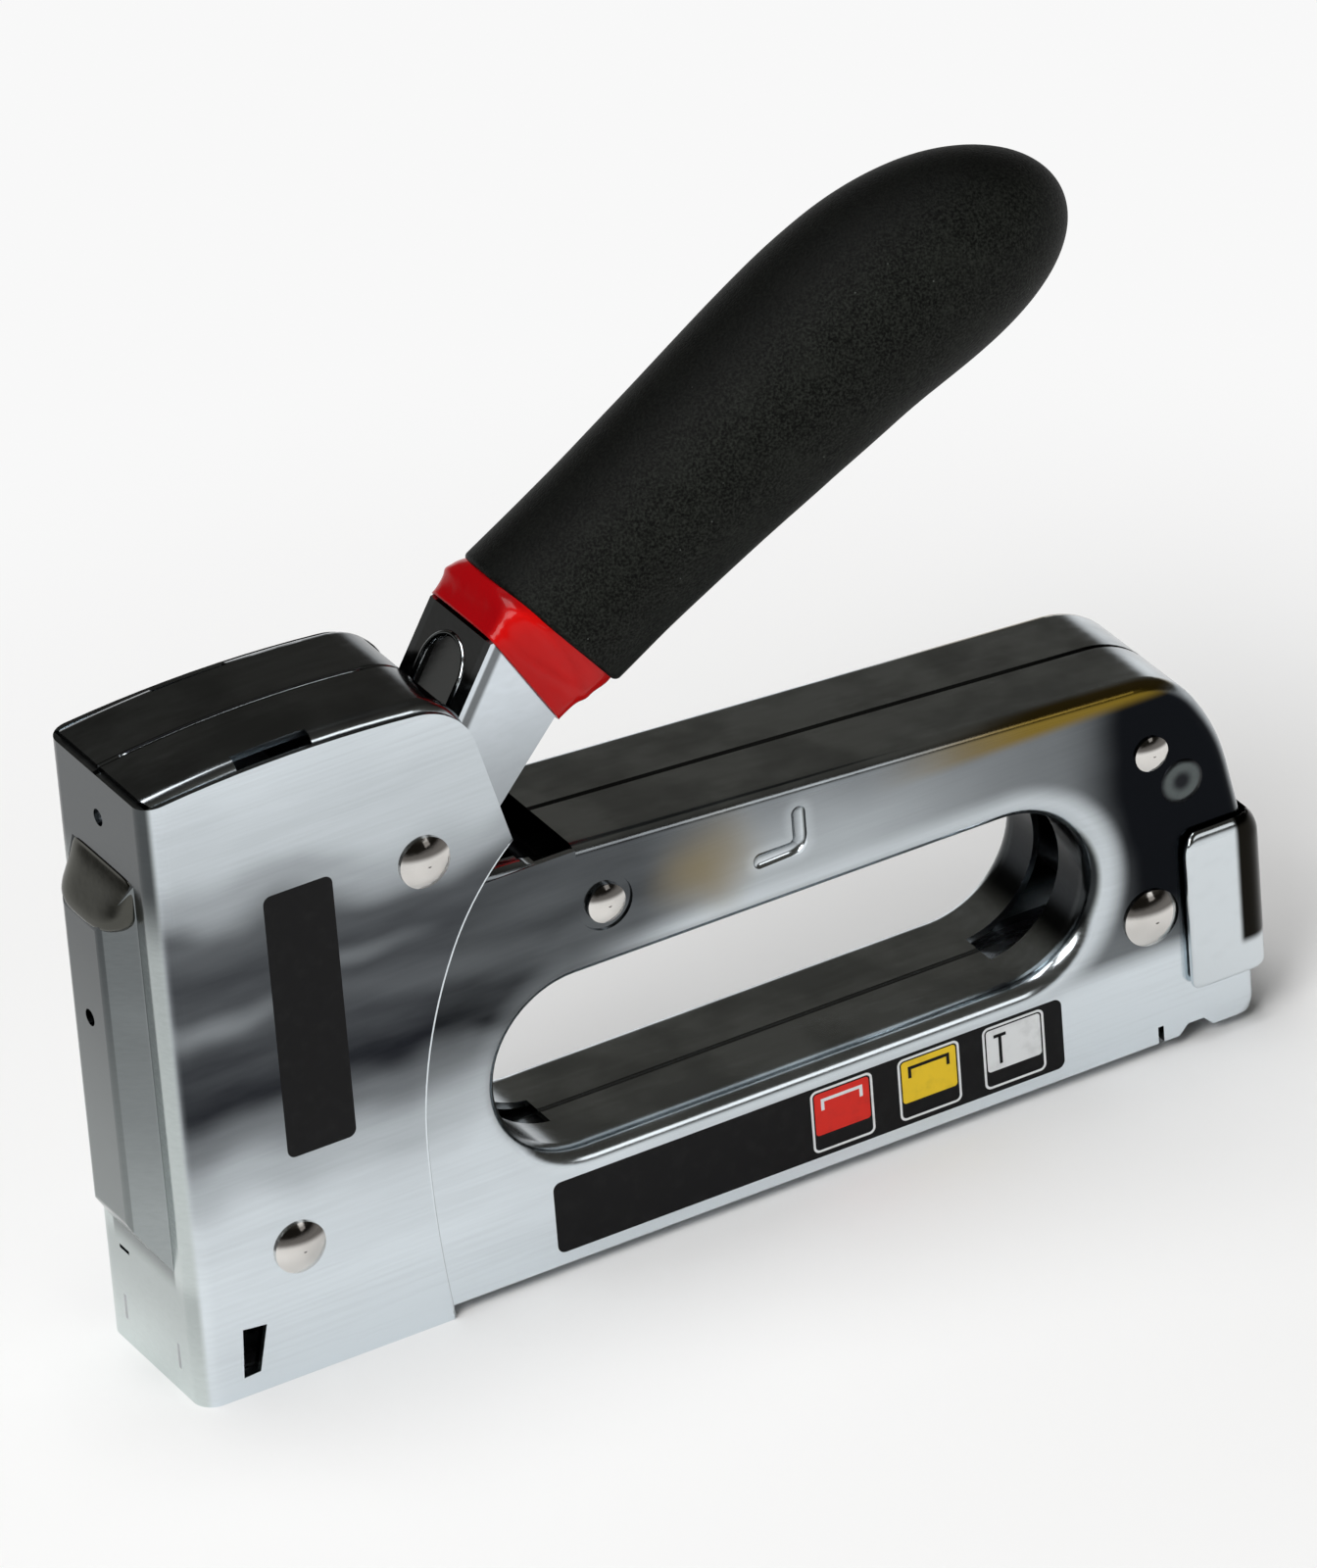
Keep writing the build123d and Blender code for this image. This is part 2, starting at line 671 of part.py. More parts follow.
bush_r = pivot_r + pin_play + bush_sheet
with BuildPart() as pivot_bush:
    with BuildSketch(side_plane(0)):
        with Locations(pivot):
            Circle(bush_r)
            Circle(pivot_r + pin_play, mode=Mode.SUBTRACT)
    extrude(amount=lever_inner, both=True)
tag(pivot_bush, "pivot_bush")

with BuildPart() as lever_return_spring:
    coil_half = lever_inner - 2 * return_wire
    with BuildLine() as coil:
        Helix(2 * coil_half / return_turns, 2 * coil_half, bush_r + hole_play + return_wire / 2,
              center=(pivot[0], -coil_half, pivot[1]), direction=(0, 1, 0))
    with BuildSketch(Plane(origin=coil.line @ 0, z_dir=coil.line % 0)) as wire_end:
        Circle(return_wire / 2)
    sweep(path=coil.line)
    extrude(wire_end.sketch, amount=-return_leg)
    with BuildSketch(Plane(origin=coil.line @ 1, z_dir=coil.line % 1)) as other_end:
        Circle(return_wire / 2)
    extrude(other_end.sketch, amount=return_leg)
tag(lever_return_spring, "lever_return_spring")

# ---------------------------------------------------------------- grip
grip_turn_r = grip_bend_length / radians(grip_bend_deg)


def grip_plane(distance, aside=0.0):
    """Plane across the grip's axis at a distance from its start, x along the gun's Y."""
    turn = max(0.0, distance - grip_straight) / grip_turn_r
    straight_end = along(grip_start, grip_deg, min(distance, grip_straight))
    centre = along(straight_end, grip_deg, 0, -grip_turn_r)
    place = along(centre, grip_deg - degrees(turn), 0, grip_turn_r + aside)
    heading = radians(grip_deg) - turn
    return Plane((place[0], 0, place[1]), x_dir=(0, -1, 0), z_dir=(cos(heading), 0, sin(heading)))


def sleeve_tube():
    """The sleeve's outside round the tang, as long as the tang with its closed end."""
    with BuildPart() as tube:
        with BuildSketch(grip_plane(0)):
            RectangleRounded(2 * (lever_half + sleeve_sheet), tang_thick + 2 * sleeve_sheet, sleeve_edge_r)
        extrude(amount=tang_length + sleeve_sheet)
    return tube.part


with BuildPart() as handle_sleeve:
    add(sleeve_tube())
    neck_depth = hypot(neck_top_bend[0] - neck_low_bend[0], neck_top_bend[1] - neck_low_bend[1])
    with BuildSketch(grip_plane(-sleeve_show)):
        RectangleRounded(2 * (lever_half + sleeve_sheet), neck_depth + 2 * sleeve_sheet, sleeve_edge_r)
    with BuildSketch(grip_plane(0)):
        RectangleRounded(2 * sleeve_flare, 2 * sleeve_flare, sleeve_flare - touch_gap)
    loft()
    add(lever_block(), mode=Mode.SUBTRACT)
tag(handle_sleeve, "handle_sleeve")

# The foam swells from its front end, which is cut out of square, and closes in a round tip
with BuildPart() as handle_grip:
    for distance, radius, shift in grip_sections:
        with BuildSketch(grip_plane(distance, shift)):
            Circle(radius)
    loft()
    tip_distance, tip_radius, tip_shift = grip_tip
    with Locations(grip_plane(tip_distance, tip_shift).origin):
        Sphere(tip_radius)
    cut = radians(grip_deg + grip_cut_deg)
    start_plane = Plane((grip_start[0], 0, grip_start[1]), x_dir=(0, -1, 0), z_dir=(cos(cut), 0, sin(cut)))
    split(bisect_by=start_plane, keep=Keep.TOP)
    add(handle_sleeve.part, mode=Mode.SUBTRACT)
    add(lever_block(), mode=Mode.SUBTRACT)
tag(handle_grip, "handle_grip")

# ---------------------------------------------------------------- plunger and blade
with BuildPart() as plunger:
    base_high = (plunger_base_x, plunger_base_half, plunger_seat)
    box_between((blade_rear_x, -plunger_base_half, plunger_low), base_high)
    fillet(plunger.edges().filter_by(Axis.Z).group_by(Axis.X)[-1], plunger_corner_r)
    shelf_high, shelf_inner = shelf_low + shelf_sheet, lever_half + air
    box_between((blade_rear_x, -plunger_half, plunger_low), (plate_rear_x, plunger_half, shelf_high))
    box_between((blade_rear_x, -shelf_half, shelf_low), (plate_rear_x, shelf_half, shelf_high))
    for low_y, high_y in ((-shelf_half, -shelf_inner), (shelf_inner, shelf_half)):
        box_between((blade_rear_x, low_y, shelf_low), (shelf_length, high_y, shelf_high))
    with BuildSketch(Plane.YZ.offset(blade_rear_x)):
        with Locations(*[(0, z) for z in blade_rivet_z]):
            Circle(blade_rivet_r + hole_play)
    extrude(amount=plate_sheet, mode=Mode.SUBTRACT)
tag(plunger, "plunger")

with BuildPart() as driver_blade:
    box_between(
        (blade_rear_x - blade_sheet, -blade_half, blade_tip_z), (blade_rear_x, blade_half, blade_top_z)
    )
    with BuildSketch(Plane.YZ.offset(blade_rear_x)):
        with Locations(*[(0, z) for z in blade_rivet_z]):
            Circle(blade_rivet_r + hole_play)
    extrude(amount=-blade_sheet, mode=Mode.SUBTRACT)
tag(driver_blade, "driver_blade")

for name, z in zip(("low", "high"), blade_rivet_z):
    with BuildPart() as rivet:
        front, back = blade_rear_x - blade_sheet, plate_rear_x
        with BuildSketch(Plane((0, 0, z), x_dir=(0, 0, 1), z_dir=(0, 1, 0))):
            with BuildLine():
                Polyline((blade_rivet_head_r, front), (blade_rivet_r, front), (blade_rivet_r, back),
                         (blade_rivet_head_r, back))
                TangentArc((0, front - blade_rivet_high), (blade_rivet_head_r, front), tangent=(1, 0))
                TangentArc((0, back + blade_rivet_high), (blade_rivet_head_r, back), tangent=(1, 0))
                Line((0, front - blade_rivet_high), (0, back + blade_rivet_high))
            make_face()
        revolve(axis=Axis((0, 0, z), (1, 0, 0)))
    tag(rivet, f"blade_rivet_{name}")

# ---------------------------------------------------------------- magazine
with BuildPart() as magazine_housing:
    lip_half = house_half + house_lip
    box_between((rail_front, -lip_half, inside_low), (house_rear, lip_half, inside_low + house_sheet))
    box_between((rail_front, -house_half, inside_low), (house_rear, house_half, house_top))
    box_between(
        (rail_front, house_sheet - house_half, inside_low), (house_rear, house_half - house_sheet,
        house_top - house_sheet), mode=Mode.SUBTRACT,
    )
tag(magazine_housing, "magazine_housing")

with BuildPart() as magazine_rail:
    box_between((rail_front, -rail_half, rail_low), (cap_inner_x, rail_half, rail_high))
    box_between(
        (rail_front + rail_sheet, rail_sheet - rail_half, rail_low + rail_sheet),
        (cap_inner_x, rail_half - rail_sheet, rail_high), mode=Mode.SUBTRACT,
    )
tag(magazine_rail, "magazine_rail")

with BuildPart() as magazine_end_cap:
    with BuildSketch(side_plane(0)):
        with BuildLine():
            FilletPolyline(
                (cap_front, cap_low), (cap_front, cap_high), (cap_rear, cap_high), (cap_rear, cap_low),
                radius=(0, 0, cap_top_r, 0), close=True,
            )
        make_face()
    extrude(amount=cap_half, both=True)
    rims = magazine_end_cap.edges().group_by(Axis.Y)
    for side in (rims[0], rims[-1]):
        domed = side.filter_by(lambda e: e.center().Z > cap_low + 1 and e.center().X > cap_front + 1)
        fillet(domed, cap_edge_r)
    # Room for the rear of the shells
    with BuildSketch(Plane.XY.offset(cap_low)):
        with Locations((cap_inner_x, 0)):
            RectangleRounded(
                2 * (cap_inner_x - cap_front + roll_r), 2 * (shell_half + cap_gap), roll_r + cap_gap,
                align=(Align.MAX, Align.CENTER),
            )
    extrude(amount=cap_high, mode=Mode.SUBTRACT)
tag(magazine_end_cap, "magazine_end_cap")

with BuildPart() as pusher_rod:
    with BuildSketch(Plane.YZ.offset(rail_front + rail_sheet)):
        with Locations((0, rod_z)):
            Circle(rod_r)
    extrude(amount=cap_inner_x - rail_front - rail_sheet)
tag(pusher_rod, "pusher_rod")

with BuildPart() as pusher:
    block_half = rail_half - rail_sheet - air
    skirt_inner = rail_half + air
    top_low = rail_high + air
    top_high = top_low + pusher_sheet
    box_between((pusher_front, -block_half, pusher_block_z), (pusher_rear, block_half, top_high))
    skirt_outer = skirt_inner + pusher_sheet
    box_between((pusher_front, -skirt_outer, top_low), (pusher_rear, skirt_outer, top_high))
    for low_y, high_y in ((-skirt_outer, -skirt_inner), (skirt_inner, skirt_outer)):
        box_between((pusher_front, low_y, pusher_skirt_z), (pusher_rear, high_y, top_high))
    with BuildSketch(Plane.YZ.offset(pusher_front)):
        with Locations((0, rod_z)):
            Circle(rod_r + rod_play)
    extrude(amount=pusher_length, mode=Mode.SUBTRACT)
tag(pusher, "pusher")

with BuildPart() as pusher_spring:
    with BuildLine() as wire:
        reach = cap_inner_x - pusher_rear - push_wire - 2 * touch_gap
        Helix(reach / push_turns, reach, push_spring_r, direction=(1, 0, 0),
              center=(pusher_rear + touch_gap + push_wire / 2, 0, rod_z))
    with BuildSketch(Plane(origin=wire.line @ 0, z_dir=wire.line % 0)):
        Circle(push_wire / 2)
    sweep(path=wire.line)
tag(pusher_spring, "pusher_spring")
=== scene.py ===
import math

import bmesh
import bpy
from mathutils import Matrix, Vector, noise


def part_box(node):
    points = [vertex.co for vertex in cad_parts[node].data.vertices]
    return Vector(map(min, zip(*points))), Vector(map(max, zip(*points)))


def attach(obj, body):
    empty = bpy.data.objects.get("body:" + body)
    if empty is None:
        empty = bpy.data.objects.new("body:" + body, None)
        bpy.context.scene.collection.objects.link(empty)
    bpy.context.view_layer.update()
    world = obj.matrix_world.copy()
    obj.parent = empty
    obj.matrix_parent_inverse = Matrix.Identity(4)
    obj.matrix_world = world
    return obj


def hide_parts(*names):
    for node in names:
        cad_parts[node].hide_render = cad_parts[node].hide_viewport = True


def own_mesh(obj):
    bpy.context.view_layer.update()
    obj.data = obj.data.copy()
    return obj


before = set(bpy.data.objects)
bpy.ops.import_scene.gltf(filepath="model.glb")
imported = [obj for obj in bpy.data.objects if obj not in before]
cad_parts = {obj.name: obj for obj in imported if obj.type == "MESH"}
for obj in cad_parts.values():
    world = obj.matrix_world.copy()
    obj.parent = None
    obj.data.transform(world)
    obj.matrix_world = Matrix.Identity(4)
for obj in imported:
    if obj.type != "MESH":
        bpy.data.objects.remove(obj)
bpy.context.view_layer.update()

# ---------------------------------------- body shells
# Two mirrored halves of steel sheet, drawn to shape with a finger opening and a hooked dent in the arm,
# polished, chrome plated and riveted together on the middle plane. The plate's colour has painted
# reflections: darker where the nose, arm and heel turn away, a painted highlight round the opening, and a
# painted amber reflection on the arm.
OPENING_MIDDLE = (0.09345, 0.03175)
OPENING_HALF_LENGTH = 0.0341
OPENING_RADIUS = 0.01345
SEAM_HALF = 0.00042
DENT_LEGS = (((0.0951, 0, 0.0542), (0.0951, 0, 0.0589)), ((0.0887, 0, 0.0537), (0.0947, 0, 0.0537)))
DENT_HALF = 0.0011
DENT_LIT_FROM = (0.50, 0.0, -0.87)
# Painted reflections of the plate: the tones banded by height, the glints, the amber reflection, and the
# light and dark ends of the plate's colour.
HEIGHT_REFLECTION_BANDS = (
    (0.00, 1.00), (0.15, 0.97), (0.27, 0.86), (0.35, 0.56), (0.42, 0.22), (0.47, 0.03), (0.53, 0.06),
    (0.59, 0.14), (0.63, 0.09), (0.68, 0.09), (0.73, 0.12), (0.78, 0.50), (0.83, 0.76), (1.00, 0.92),
)
PAINTED_GLINTS = (((0.0030, 0, 0.0585), (60.0, 0, 250.0), 0.15), ((0.0270, 0, 0.0635), (75.0, 0, 330.0), 0.11))
AMBER_REFLECTION_SPOT = (0.0795, 0, 0.0575)
AMBER_REFLECTION_SPREAD = (75.0, 0, 110.0)
AMBER_REFLECTION = (0.21, 0.140, 0.018, 1)
BRIGHT_LIGHT = (0.74, 0.80, 0.84, 1)
BRIGHT_DARK = (0.006, 0.007, 0.009, 1)


def add_node(tree, kind, inputs=(), **settings):
    """Adds a node with its settings, and sets or links its inputs by their position."""
    made = tree.nodes.new(kind)
    for name, value in settings.items():
        setattr(made, name, value)
    for place, value in dict(inputs).items():
        if isinstance(value, bpy.types.NodeSocket):
            tree.links.new(value, made.inputs[place])
        else:
            made.inputs[place].default_value = value
    return made


def maths(tree, operation, *values):
    """Output of a Math node on values or links."""
    return add_node(tree, "ShaderNodeMath", enumerate(values), operation=operation).outputs[0]


def product(tree, *factors):
    """All of the values or links, multiplied."""
    result = factors[0]
    for factor in factors[1:]:
        result = maths(tree, "MULTIPLY", result, factor)
    return result


def vector_maths(tree, operation, *values):
    """Vector output of a Vector Math node on vectors or links."""
    return add_node(tree, "ShaderNodeVectorMath", enumerate(values), operation=operation).outputs[0]


def measure(tree, operation, *values):
    """Number that a Vector Math node gives, such as a length."""
    return add_node(tree, "ShaderNodeVectorMath", enumerate(values), operation=operation).outputs["Value"]


def split(tree, vector):
    """X, Y and Z of a vector."""
    return list(add_node(tree, "ShaderNodeSeparateXYZ", ((0, vector),)).outputs)


def where(tree, what="Object"):
    """The place on the object, or else its normal or the direction of the sky."""
    return add_node(tree, "ShaderNodeTexCoord").outputs[what]


def cloud(tree, vector, scale, detail):
    """Outputs of a noise texture."""
    return add_node(tree, "ShaderNodeTexNoise", ((0, vector), (2, scale), (3, detail))).outputs


def fade(tree, value, start, end, low=0.0, high=1.0):
    """Output that runs smoothly from low at start to high at end."""
    inputs = ((0, value), (1, start), (2, end), (3, low), (4, high))
    return add_node(tree, "ShaderNodeMapRange", inputs, interpolation_type="SMOOTHSTEP").outputs[0]


def mix_values(tree, factor, first, second):
    """Output value between two values or links."""
    return add_node(tree, "ShaderNodeMix", ((0, factor), (2, first), (3, second))).outputs[0]


def mix_colours(tree, factor, first, second):
    """Output colour between two colours or links."""
    inputs = ((0, factor), (6, first), (7, second))
    return add_node(tree, "ShaderNodeMix", inputs, data_type="RGBA").outputs[2]


def new_group(name, inputs, outputs):
    """An empty shader node group: inputs are name, socket type and value, and outputs are names."""
    tree = bpy.data.node_groups.new(name, "ShaderNodeTree")
    for label, kind, value in inputs:
        socket = tree.interface.new_socket(label, in_out="INPUT", socket_type=f"NodeSocket{kind}")
        socket.default_value = value
    for label in outputs:
        tree.interface.new_socket(label, in_out="OUTPUT", socket_type="NodeSocketFloat")
    return tree, tree.nodes.new("NodeGroupInput").outputs, tree.nodes.new("NodeGroupOutput").inputs


def place_group(tree, group, **values):
    """Places a group in a material with its own values, and gives its outputs."""
    placed = add_node(tree, "ShaderNodeGroup", node_tree=group)
    for label, value in values.items():
        placed.inputs[label].default_value = value
    return placed.outputs


def new_material(name, metallic, roughness, **sockets):
    """A material and its Principled BSDF, with the sockets that are the same all over."""
    made = bpy.data.materials.new(name)
    made.use_nodes = True
    shader = made.node_tree.nodes["Principled BSDF"]
    shader.inputs["Metallic"].default_value = metallic
    shader.inputs["Roughness"].default_value = roughness
    for socket, value in sockets.items():
        shader.inputs[socket.replace("_", " ")].default_value = value
    return made, shader


def add_bump(tree, shader, height, distance, strength):
    """Links a height to the shader's normal. Distance is in metres."""
    made = add_node(tree, "ShaderNodeBump", ((0, strength), (1, distance)))
    tree.links.new(height, made.inputs["Height"])
    tree.links.new(made.outputs["Normal"], shader.inputs["Normal"])


def finish_surface(tree, shader, colour, fine, roughness, distance, strength):
    """Links the colour, and lets the fine grain set the bump and the roughness between its two values."""
    tree.links.new(colour, shader.inputs["Base Color"])
    rough = maths(tree, "MULTIPLY_ADD", fine, roughness[1] - roughness[0], roughness[0])
    tree.links.new(rough, shader.inputs["Roughness"])
    add_bump(tree, shader, fine, distance, strength)


def paint(finish, *nodes):
    """Gives CAD nodes their material."""
    for node in nodes:
        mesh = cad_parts[node].data
        mesh.materials.clear()
        mesh.materials.append(finish)


# Grain: a fine and a broad unevenness, drawn out along an axis where the metal was brushed or drawn.
grain, given, gives = new_group(
    "grain", (("Scale", "Float", 1500.0), ("Stretch", "Vector", (1.0, 1.0, 1.0)), ("Detail", "Float", 3.0)),
    ("Fine", "Broad"))
coords = where(grain)
stretched = vector_maths(grain, "MULTIPLY", coords, given["Stretch"])
broad_scale = maths(grain, "MULTIPLY", given["Scale"], 0.07)
grain.links.new(cloud(grain, stretched, given["Scale"], given["Detail"])["Fac"], gives["Fine"])
grain.links.new(cloud(grain, coords, broad_scale, 2.0)["Fac"], gives["Broad"])

# Plate tone: painted reflections, highlights and shade in the plating's colour, by place, and the plate's
# own dark seam line and mottling. Moved is the place with a slow wander.
plate_seam_and_painted_light, given, gives = new_group(
    "plate_seam_and_painted_light", (("Wander", "Float", 0.015), ("Rim", "Float", 0.80), ("Smear", "Float", 0.16)),
    ("Tone", "Amber", "Front", "Top", "Dent"))
tree = plate_seam_and_painted_light
coords = where(tree)
x, y, z = split(tree, coords)
off_middle = maths(tree, "ABSOLUTE", y)
wander = vector_maths(tree, "SUBTRACT", cloud(tree, coords, 38.0, 2.0)["Color"], (0.5, 0.5, 0.5))
scaled = ((0, wander), (3, given["Wander"]))
wander = add_node(tree, "ShaderNodeVectorMath", scaled, operation="SCALE").outputs[0]
moved = vector_maths(tree, "ADD", coords, wander)
moved_x, _, moved_z = split(tree, moved)

# How far a place is from the finger opening's edge.
along = maths(tree, "ABSOLUTE", maths(tree, "SUBTRACT", x, OPENING_MIDDLE[0]))
along = maths(tree, "MAXIMUM", maths(tree, "SUBTRACT", along, OPENING_HALF_LENGTH), 0.0)
upward = maths(tree, "SUBTRACT", z, OPENING_MIDDLE[1])
reach = maths(tree, "ADD", product(tree, along, along), product(tree, upward, upward))
from_opening = maths(tree, "SUBTRACT", maths(tree, "SQRT", reach), OPENING_RADIUS)

# Nose: painted reflections, banded by height, with wiped streaks and two painted glints.
height = maths(tree, "MULTIPLY", maths(tree, "MULTIPLY_ADD", moved_x, 0.08, moved_z), 10.0)
ramp = add_node(tree, "ShaderNodeValToRGB", ((0, height),))
ramp.color_ramp.interpolation = "EASE"
stops = ramp.color_ramp.elements
stops.remove(stops[1])
stops[0].color = (HEIGHT_REFLECTION_BANDS[0][1], HEIGHT_REFLECTION_BANDS[0][1], HEIGHT_REFLECTION_BANDS[0][1], 1)
for position, level in HEIGHT_REFLECTION_BANDS[1:]:
    stops.new(position).color = (level, level, level, 1)
wiped = cloud(tree, vector_maths(tree, "MULTIPLY", coords, (30.0, 30.0, 170.0)), 1.0, 4.0)["Fac"]
wiped = product(tree, maths(tree, "SUBTRACT", wiped, 0.5), given["Smear"])
painted_bands = maths(tree, "ADD", ramp.outputs["Color"], wiped)
for middle, spread, gain in PAINTED_GLINTS:
    painted_glint = vector_maths(tree, "MULTIPLY", vector_maths(tree, "SUBTRACT", moved, middle), spread)
    painted_bands = maths(tree, "ADD", painted_bands, fade(tree, measure(tree, "LENGTH", painted_glint), 1.0, 0.0, 0.0, gain))
painted_bands = maths(tree, "MAXIMUM", painted_bands, 0.01)

# Painted reflections on the arm, a painted light strip below the opening, a painted dark reflection on the
# heel, and a painted highlight round the opening's rim.
arm_painted_tone = product(tree, fade(tree, moved_z, 0.066, 0.054, 0.26, 0.56),
                   fade(tree, moved_x, 0.100, 0.136, 1.0, 0.40))
tone = mix_values(tree, fade(tree, moved_x, 0.066, 0.088), painted_bands, arm_painted_tone)
strip = product(tree, fade(tree, z, 0.014, 0.020, 1.0, 0.0), fade(tree, moved_x, 0.05, 0.06))
tone = maths(tree, "MAXIMUM", tone, strip)
heel = product(tree, fade(tree, moved_x, 0.1345, 0.1465), fade(tree, moved_z, 0.016, 0.026),
               fade(tree, from_opening, 0.0035, 0.0055))
tone = product(tree, tone, maths(tree, "SUBTRACT", 1.0, heel))
rim = product(tree, fade(tree, from_opening, 0.0062, 0.0022), fade(tree, from_opening, -0.0006, 0.0),
              fade(tree, x, 0.058, 0.082, 0.15, 1.0))
tree.links.new(mix_values(tree, rim, tone, given["Rim"]), gives["Tone"])

# Amber: a painted amber reflection, as a soft spot before the dent and a streak on the arm's rolled edge.
spot = vector_maths(tree, "MULTIPLY", vector_maths(tree, "SUBTRACT", moved, AMBER_REFLECTION_SPOT), AMBER_REFLECTION_SPREAD)
spot = fade(tree, measure(tree, "LENGTH", spot), 1.0, 0.0, 0.0, 0.60)
streak = product(tree, fade(tree, z, 0.0565, 0.0585), fade(tree, z, 0.0625, 0.0605),
                 fade(tree, x, 0.105, 0.135), fade(tree, off_middle, 0.0103, 0.0118))
tree.links.new(maths(tree, "MAXIMUM", spot, streak), gives["Amber"])

# Forward faces: a painted reflection, light at the foot, darker up the nose, and light beside the boss.
front = maths(tree, "ADD", fade(tree, z, 0.0, 0.016, 0.26, 0.0), fade(tree, z, 0.0165, 0.0200, 0.60, 0.30))
front = maths(tree, "ADD", front, fade(tree, z, 0.020, 0.078, 0.0, -0.21))
beside_boss = product(tree, fade(tree, off_middle, 0.0085, 0.0092, 0.0, 0.46),
                      fade(tree, z, 0.0165, 0.0200), fade(tree, z, 0.082, 0.070))
tree.links.new(maths(tree, "ADD", front, beside_boss), gives["Front"])

# Tops: a painted dark reflection on the head's top, the dark seam line, and a little mottled.
mottle = cloud(tree, coords, 90.0, 4.0)["Fac"]
top = product(tree, fade(tree, x, 0.044, 0.060, 0.34, 1.0), fade(tree, mottle, 0.35, 0.65, 0.70, 1.0),
              fade(tree, off_middle, SEAM_HALF, SEAM_HALF + 0.00015))
tree.links.new(top, gives["Top"])

# Dent: painted light on its lower side and painted shade on its upper side, as if lit from below, and a
# pale painted ring round it.
legs = []
for near_end, far_end in DENT_LEGS:
    on_leg = vector_maths(tree, "MINIMUM", vector_maths(tree, "MAXIMUM", coords, near_end), far_end)
    aside = vector_maths(tree, "MULTIPLY", vector_maths(tree, "SUBTRACT", coords, on_leg), (1.0, 0.0, 1.0))
    legs.append((measure(tree, "LENGTH", aside), measure(tree, "DOT_PRODUCT", aside, DENT_LIT_FROM)))
away = maths(tree, "MINIMUM", legs[0][0], legs[1][0])
lean = mix_values(tree, maths(tree, "LESS_THAN", legs[0][0], legs[1][0]), legs[1][1], legs[0][1])
dent = product(tree, maths(tree, "MULTIPLY_ADD", lean, 0.75 / DENT_HALF, -0.10),
               fade(tree, away, DENT_HALF + 0.0001, DENT_HALF - 0.0001))
dent = maths(tree, "ADD", dent, fade(tree, away, 0.0030, DENT_HALF, 0.0, 0.12))
tree.links.new(dent, gives["Dent"])


def plating(name, light, dark, roughness, sides, front):
    """Bright plate whose colour carries painted reflections and shade, by place and by where each face
    looks. Sides is how far its left and right faces follow the painted plate tone. Front scales how light
    its forward faces are."""
    made, shader = new_material(name, 1.0, roughness)
    tree = made.node_tree
    shared = place_group(tree, plate_seam_and_painted_light)
    brushed = place_group(tree, grain, Scale=900.0, Stretch=(0.08, 1.0, 2.6))
    facing = split(tree, where(tree, "Normal"))
    # Painted shade by facing: tops take the painted top tone, rear faces are painted darker, side faces
    # take the painted plate tone and dent shading, and forward faces the painted front tone, a little
    # greyer.
    upness = maths(tree, "MULTIPLY_ADD", maths(tree, "MAXIMUM", facing[0], 0.0), 0.8, facing[2])
    level = mix_values(tree, fade(tree, upness, 0.38, 0.80), 0.92, shared["Top"])
    level = product(tree, level, fade(tree, facing[0], 0.25, 0.75, 1.0, 0.42))
    sideways = fade(tree, maths(tree, "ABSOLUTE", facing[1]), 0.55, 0.97, 0.0, sides)
    level = mix_values(tree, sideways, level, shared["Tone"])
    level = maths(tree, "MAXIMUM", maths(tree, "MULTIPLY_ADD", shared["Dent"], sides, level), 0.0)
    forward = fade(tree, facing[0], -0.45, -0.75)
    level = mix_values(tree, forward, level, product(tree, shared["Front"], front))
    level = product(tree, level, maths(tree, "MULTIPLY_ADD", brushed["Fine"], 0.20, 0.90))
    greyed = (0.97 * light[0], 0.98 * light[1], 0.92 * light[2], 1)
    colour = mix_colours(tree, level, dark, mix_colours(tree, forward, light, greyed))
    colour = mix_colours(tree, product(tree, shared["Amber"], 0.95 * sides), colour, AMBER_REFLECTION)
    rough = (roughness - 0.06, roughness + 0.06)
    finish_surface(tree, shader, colour, brushed["Fine"], rough, 0.00002, 0.25)
    return made


shell_plate = plating("shell_plate", BRIGHT_LIGHT, BRIGHT_DARK, 0.17, sides=1.0, front=0.05)
paint(shell_plate, "shell_left", "shell_right")

# ---------------------------------------- nose cover
# A second sheet of plated steel, bent into a channel over the nose and riveted through it. It holds the
# driver's guide against the front, so its front face is pressed out in a boss over the blade.
COVER_FACE = 0.0138
COVER_HEEL = Vector((0.0353, 0.0006))
COVER_WAIST = Vector((0.0335, 0.0280))
COVER_SHOULDER = Vector((0.0402, 0.0576))
COVER_TOP = Vector((0.0506, 0.0712))
EDGE_BEAD = 0.00023
WIRE_SIDES = 12
COVER_FRONT = -0.0040
BOSS_DEPTH = 0.0043
BOSS_CREST = 0.0740
BOSS_HIGH = 0.0810
HOOD_MIDDLE = 0.0770
HOOD_HALF = (0.0086, 0.0043)
HOOD_PROUD = 0.00040
HOOD_RINGS = 20
HOOD_POINTS = 64
COVER_LIGHT = (0.73, 0.79, 0.83, 1)
COVER_DARK = (0.008, 0.009, 0.013, 1)
EDGE_LIGHT = (0.78, 0.84, 0.88, 1)
EDGE_DARK = (0.02, 0.02, 0.02, 1)


def metal(name, colour, roughness, scale, stretch=(1.0, 1.0, 1.0)):
    """Plain metal whose colour and roughness vary a little with its grain."""
    made, shader = new_material(name, 1.0, roughness)
    tree = made.node_tree
    worked = place_group(tree, grain, Scale=scale, Stretch=stretch)
    worn = tuple(value * 0.62 for value in colour)
    mixed = mix_colours(tree, fade(tree, worked["Broad"], 0.35, 0.7, 0.0, 0.6), (*colour, 1), (*worn, 1))
    rough = (roughness - 0.07, roughness + 0.07)
    finish_surface(tree, shader, mixed, worked["Fine"], rough, 0.00003, 0.4)
    return made


